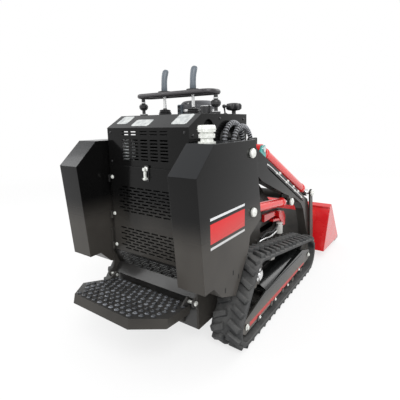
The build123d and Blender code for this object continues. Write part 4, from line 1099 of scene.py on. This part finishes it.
bucket_red.set("Base Color", bucket_red.mix(bare, red_body, (0.24, 0.22, 0.20)))
bucket_red.set("Roughness", 0.24 + patch * 0.12 + bare * 0.2)
bucket_red.set("Metallic", bare * 0.8)
bucket_red.peel(0.0025)
paint_over(bucket_red, "bucket")
pale_red = Finish("cutter_enamel", "red_paint", Coat_Weight=0.4, Coat_Roughness=0.12)
pale_red.grain((0.62, 0.030, 0.028), (0.68, 0.16, 0.13), (12, 5, 0.6), (0.40, 0.70), (0.30, 0.2))
pale_red.peel(0.002)
cutter = side_plate(CUTTER_OUTLINE, 0.5260, BUCKET_Y - 0.0001, 0.0005)
piece("side_cutters", both_sides(cutter), pale_red, "bucket")
piece("bucket_top_bar", side_plate(TOP_BAR_OUTLINE, -BUCKET_Y, BUCKET_Y, 0.002), bucket_red, "bucket")
piece("cutting_blade", side_plate(BLADE_OUTLINE, -BUCKET_Y, BUCKET_Y, 0.001), carrier_grey, "bucket")
bolts("blade_bolts", carrier_grey, [((1.115, y, 0.0365), (0, 0, -1), 0.009) for y in BLADE_BOLT_Y], "bucket")

# Arm stops and the plumbing over the right track: red enamelled brackets, a filter and short hoses.
# The filter's can is screwed to its head, and the hoses end at the filter.
STOP_OUTLINE = ((-0.100, 0.500), (0.085, 0.500), (0.085, 0.534), (-0.100, 0.550))
RAIL_OUTLINE = ((0.020, 0.474), (0.196, 0.444), (0.196, 0.462), (0.020, 0.492))
FILTER_PROFILE = (
    (0, 0), (0.022, 0), (0.025, 0.004), (0.025, 0.060), (0.021, 0.066), (0.021, 0.070), (0.024, 0.071),
    (0.024, 0.086), (0, 0.086),
)
HIGH_HOSE = (
    (-0.130, -0.328, 0.395), (-0.070, -0.338, 0.425), (0.010, -0.340, 0.395), (0.080, -0.336, 0.402),
    (0.128, -0.336, 0.420),
)
LOW_HOSE = (
    (-0.160, -0.328, 0.380), (-0.090, -0.334, 0.385), (0.000, -0.336, 0.366), (0.090, -0.334, 0.372),
    (0.128, -0.336, 0.380),
)
paint_over(gloss_red, "arm_stops")
stop_rail = side_plate(STOP_OUTLINE, 0.3172, 0.3390, 0.002)
add_to(stop_rail, side_plate(RAIL_OUTLINE, 0.3172, 0.3520, 0.002))
piece("stop_rails", both_sides(stop_rail), gloss_red)
filter_white = Finish("filter_enamel", "bright_steel", Roughness=0.35)
filter_white.grain((0.45, 0.45, 0.43), (0.62, 0.62, 0.59), (40,))
piece("hydraulic_filter", turned(FILTER_PROFILE, (0.150, -0.3425, 0.352), UP, 36), filter_white)
piece("pump_hose_high", tube("hose", HIGH_HOSE, 0.0085), hose_rubber)
piece("pump_hose_low", tube("hose", LOW_HOSE, 0.0075), bright)

# Stand-on platform: a folded pan with a pressed non-slip top, hung between two lugs on short pins.
# The raised rings are punched through, and shoes have rubbed the paint off their rims.
PLATFORM_FOOT, PLATFORM_BACK = Vector((-0.830, 0, 0.257)), Vector((-1.170, 0, 0.335))
RING_ROWS = 9
RING_PITCH = (0.037, 0.040)    # along the platform and across it
RING_REACH = 0.285             # half the width that the rings cover, up to where the corners taper
RING_SIDES = 14
LUG_OUTLINE = (
    (-0.905, 0.279), (-0.838, 0.263), (-0.836, 0.290), (-0.843, 0.304), (-0.857, 0.308), (-0.870, 0.300),
)
EAR_OUTLINE = (
    (-0.829, 0.345), (-0.829, 0.240), (-0.846, 0.262), (-0.866, 0.268), (-0.876, 0.286), (-0.866, 0.304),
    (-0.846, 0.312),
)
PIN_PROFILE = (
    (0, 0), (0.008, 0), (0.008, 0.058), (0.013, 0.0582), (0.013, 0.063), (0.010, 0.066), (0, 0.066),
)
pan_back = (PLATFORM_BACK - PLATFORM_FOOT).normalized()
pan_up = Vector((pan_back.z, 0, -pan_back.x))
ring_tree = Growth("pressed_rings")
ring_rise = ring_tree.size("Rise", 0.0035)
outer_wall, inner_wall = [
    ring_tree.node(
        "GeometryNodeMeshCone",
        {"Vertices": RING_SIDES, "Radius Top": top_r, "Radius Bottom": low_r, "Depth": ring_rise},
        fill_type="NONE",
    )
    for top_r, low_r in ((0.0085, 0.0125), (0.0060, 0.0068))
]
inner_wall = ring_tree.node("GeometryNodeFlipFaces", {"Mesh": inner_wall})
rim = ring_tree.swept(ring_tree.circle(RING_SIDES, 0.00725), ring_tree.circle(6, 0.00125))
ring_tree.stand_on_points(ring_tree.join(outer_wall, inner_wall, ring_tree.lifted(rim, ring_rise)))
tread_steel = Finish("tread_steel", "black_paint", Coat_Weight=0.2, Coat_Roughness=0.2)
tread_steel.grain((0.020, 0.022, 0.026), (0.17, 0.18, 0.20), (16, 5, 0.65), (0.42, 0.66), (0.30, 0.15))
rows, holes = [], []
pan_turn = facing_out(pan_up)
for row in range(RING_ROWS):
    share = 0.030 + row * RING_PITCH[0]
    reach = RING_REACH - max(0, share - 0.20) * 0.62
    columns = int(2 * reach / RING_PITCH[1])
    for column in range(columns + 1):
        y = (column - columns / 2) * RING_PITCH[1] + (0.010 if row % 2 else -0.010)
        if abs(y) > reach:
            continue
        spot = PLATFORM_FOOT + pan_back * share + Vector((0, y, 0))
        rows.append((spot + pan_up * 0.0017, pan_turn, 1.0))
        holes.append((spot + pan_up * 0.0002, pan_turn, 0.0064))
grow("tread_rings", ring_tree, rows, tread_steel)
# Near-black plugs in the rings: painted shade for the punched holes.
hole_tree = Growth("punched_holes")
hole_tree.stand_on_points(hole_tree.cylinder(RING_SIDES, 1.0, 0.06))
grow("tread_holes", hole_tree, holes, hole_painted_shade)
lugs = side_plate(LUG_OUTLINE, 0.262, 0.274)
add_to(lugs, side_plate(EAR_OUTLINE, 0.3055, 0.3165))
piece("platform_lugs", both_sides(lugs), satin_black)
pins = turned(PIN_PROFILE, (-0.852, 0.258, 0.286), ACROSS, 28)
piece("platform_pins", both_sides(pins), white_cap)

# Controls on the hood: ribbed rubber boots, rubber discs and slate grips on the drive levers, a
# padded hand bar on rubber bobbins, a gauge, a throttle and a lobed knob.
HOOD_TOP = 1.210
LEVER_X, LEVER_Y = -0.545, 0.105
BOOT_RIBS = 4
DISC_Z = 1.3392
DISC_PROFILE = ((0, 0), (0.0350, 0), (0.0368, 0.003), (0.0368, 0.009), (0.0330, 0.0105), (0, 0.0105))
GRIP_FOOT = 1.348
# radius, forward, up
GRIP_STEPS = (
    (0.0165, 0.0, 0.000), (0.0185, 0.0, 0.004), (0.0175, 0.0005, 0.030), (0.0172, 0.0025, 0.060),
    (0.0180, 0.007, 0.085), (0.0188, 0.013, 0.104), (0.0180, 0.0185, 0.1155), (0.0130, 0.0225, 0.1215),
    (0.0060, 0.024, 0.1238),
)
BAR_X, BAR_Y = -0.561, 0.265
BAR_RISE = 1.3117 - HOOD_TOP
BOBBIN_PROFILE = (
    (0, 0), (0.024, 0), (0.024, 0.010), (0.010, 0.013), (0.010, 0.034), (0.019, 0.038), (0.026, 0.048),
    (0.027, 0.060), (0.022, 0.070), (0.011, 0.074), (0.011, BAR_RISE), (0, BAR_RISE),
)
TOP_COLLAR = ((0.0105, 0), (0.015, 0), (0.015, 0.006), (0.0105, 0.006))
FOOT_COLLAR = ((0.0245, 0), (0.0250, 0.0005), (0.0250, 0.003), (0.011, 0.0035))
GAUGE_PLACE = Vector((-0.560, -0.200, HOOD_TOP + 0.040))
GAUGE_PROFILE = (
    (0, -0.040), (0.030, -0.040), (0.030, 0.002), (0.0285, 0.004), (0.026, 0.004), (0.026, 0.001), (0, 0.001),
)
BEZEL_PROFILE = (
    (0.0245, 0.0035), (0.0255, 0.0048), (0.0285, 0.005), (0.030, 0.0035), (0.030, 0.0005), (0.026, 0),
)
TICK_ANGLES = range(-30, 211, 30)
TICK_CIRCLE = 0.0175
THROTTLE_PROFILE = (
    (0, 0), (0.013, 0), (0.013, 0.005), (0.006, 0.008), (0.0045, 0.010), (0.0045, 0.036), (0.009, 0.040),
    (0.0115, 0.048), (0.009, 0.056), (0, 0.059),
)
THROTTLE_LEAN = (-0.25, 0, 1)
CABLE_PROFILE = ((0, 0), (0.008, 0), (0.008, 0.012), (0.0045, 0.014), (0.0045, 0.070), (0, 0.0705))
KNOB_PLACE = Vector((-0.330, -0.240, HOOD_TOP))
# radius, height
KNOB_STEPS = (
    (0.012, 0.0), (0.012, 0.020), (0.030, 0.024), (0.039, 0.032), (0.040, 0.050), (0.035, 0.061),
    (0.020, 0.0648), (0.006, 0.065),
)
KNOB_LOBES = 6
LOBE_DEPTH = 0.16            # as a share of the radius
GRIP_SIDES, KNOB_SIDES = 28, 60
CLAMP_PROFILE = ((0.1105, 0.020), (0.1125, 0.021), (0.1125, 0.033), (0.1105, 0.034))

black_plastic = Finish("black_plastic", "black_plastic")
moulded = black_plastic.grain((0.010, 0.010, 0.011), (0.022, 0.022, 0.023), (300, 3, 0.6), rough=(0.32, 0.2))
black_plastic.bump(moulded, 0.0004, 0.4)
slate = Finish("slate_plastic", "grey_plastic", Roughness=0.45)
slate.bump(slate.grain((0.075, 0.092, 0.110), (0.110, 0.130, 0.150), (300, 3, 0.6)), 0.0004, 0.4)
dome_grey = Finish("cleaner_grey", "grey_plastic", Roughness=0.5)
dome_grey.bump(dome_grey.grain((0.060, 0.062, 0.070), (0.110, 0.112, 0.120), (200, 3, 0.6)), 0.0004, 0.3)
bar_rubber = Finish("bar_sleeve", "rubber", Roughness=0.42)
bar_rubber.bump(bar_rubber.grain((0.014, 0.013, 0.015), (0.040, 0.036, 0.040), (180,)), 0.0004, 0.4)
paint_over(dome_grey, "air_cleaner")
paint_over(bright, "levers")
paint_over(bar_rubber, "hand_bar")

boot_profile = [(0, 0)]
for rib in range(BOOT_RIBS):
    r, z = 0.0405 - rib * 0.003, rib * 0.0088
    boot_profile += [(r, z), (r + 0.0015, z + 0.0025), (r, z + 0.005), (r - 0.006, z + 0.0075)]
boot_profile += [(0.013, 0.0360), (0.011, 0.0410), (0.0092, 0.0420)]
boots = turned(boot_profile, (LEVER_X, LEVER_Y, HOOD_TOP), UP)
piece("ribbed_boots", both_sides(boots), black_plastic, stands_for=("lever_boots",), crease=50)
piece("grip_discs", both_sides(turned(DISC_PROFILE, (LEVER_X, LEVER_Y, DISC_Z), UP)), black_plastic)

grips = bmesh.new()
for grip_y in (LEVER_Y, -LEVER_Y):
    rings = []
    for radius, forward, rise in GRIP_STEPS:
        tilt = min(0.6, forward * 26)
        rings.append([
            (
                LEVER_X + forward + radius * cos(a) * cos(tilt),
                grip_y + radius * sin(a) * (1 + 0.06 * cos(4 * a)),
                GRIP_FOOT + rise - radius * cos(a) * sin(tilt) * 0.6,
            )
            for a in angles(GRIP_SIDES)
        ])
    add_to(grips, skinned(rings))
piece("bent_grips", grips, slate, stands_for=("lever_grips",), crease=60)

posts = turned(BOBBIN_PROFILE, (BAR_X, BAR_Y, HOOD_TOP), UP)
piece("bar_bobbins", both_sides(posts), black_plastic, stands_for=("bar_posts",))
collars = turned(TOP_COLLAR, (BAR_X, BAR_Y, HOOD_TOP + 0.078), UP, 28)
add_to(collars, turned(FOOT_COLLAR, (BAR_X, BAR_Y, HOOD_TOP + 0.0098), UP, 28))
piece("bobbin_collars", both_sides(collars), bright)

dial_paint = Finish("gauge_dial", "grey_plastic", Roughness=0.3)
dial_paint.grain((0.62, 0.62, 0.60), (0.74, 0.74, 0.72), (60, 2))
piece("gauge_housing", turned(GAUGE_PROFILE, GAUGE_PLACE, UP), black_plastic, stands_for=("gauge",))
piece("gauge_bezel", turned(BEZEL_PROFILE, GAUGE_PLACE, UP), bright)
piece("gauge_dial", turned(((0, 0.0016), (0.0250, 0.0014)), GAUGE_PLACE, UP), dial_paint)
ticks = []
for angle in TICK_ANGLES:
    out = facing_out(UP) @ Vector((cos(radians(angle)), sin(radians(angle)), 0))
    lying = Matrix((out, Vector(UP).cross(out), Vector(UP))).transposed()
    ticks.append((GAUGE_PLACE + Vector(UP) * 0.0018 + out * TICK_CIRCLE, lying, 1.0))
grow("gauge_ticks", louvre_tree, ticks, black_plastic, length=0.0050, width=0.0010, depth=0.0006)

throttle = turned(THROTTLE_PROFILE, (-0.370, -0.205, HOOD_TOP), THROTTLE_LEAN, 28)
piece("throttle_lever", throttle, black_plastic)
box = block((-0.480, 0.032, HOOD_TOP + 0.031), (0.044, 0.034, 0.062), 0.004)
add_to(box, side_plate(oblong(-0.512, -0.448, 1.2098, 1.2140), 0.006, 0.058, 0.001))
piece("switch_box", box, slate)
rockers = bmesh.new()
for z in (1.232, 1.255):
    rocker_outline = (
        (-0.5015, z - 0.008), (-0.5055, z - 0.008), (-0.5035, z), (-0.5070, z + 0.008), (-0.5015, z + 0.008),
    )
    add_to(rockers, side_plate(rocker_outline, 0.023, 0.041, 0.0006))
piece("switch_rockers", rockers, black_plastic)
piece("cable_end_1", turned(CABLE_PROFILE, (-0.486, -0.004, HOOD_TOP), UP, 20), black_plastic)
piece("cable_end_2", turned(CABLE_PROFILE, (-0.486, -0.026, HOOD_TOP), UP, 20), white_cap)

knob_rings = []
for radius, rise in KNOB_STEPS:
    lobe = LOBE_DEPTH if radius > 0.02 else 0
    middle = KNOB_PLACE + Vector((0, 0, rise))
    knob_rings.append([
        middle + Vector((cos(a), sin(a), 0)) * radius * (1 + lobe * cos(KNOB_LOBES * a))
        for a in angles(KNOB_SIDES)
    ])
piece("lobed_knob", skinned(knob_rings), black_plastic, stands_for=("knob",), crease=50)
piece("cleaner_clamp", turned(CLAMP_PROFILE, (-0.385, -0.020, HOOD_TOP), UP, 72), bright)
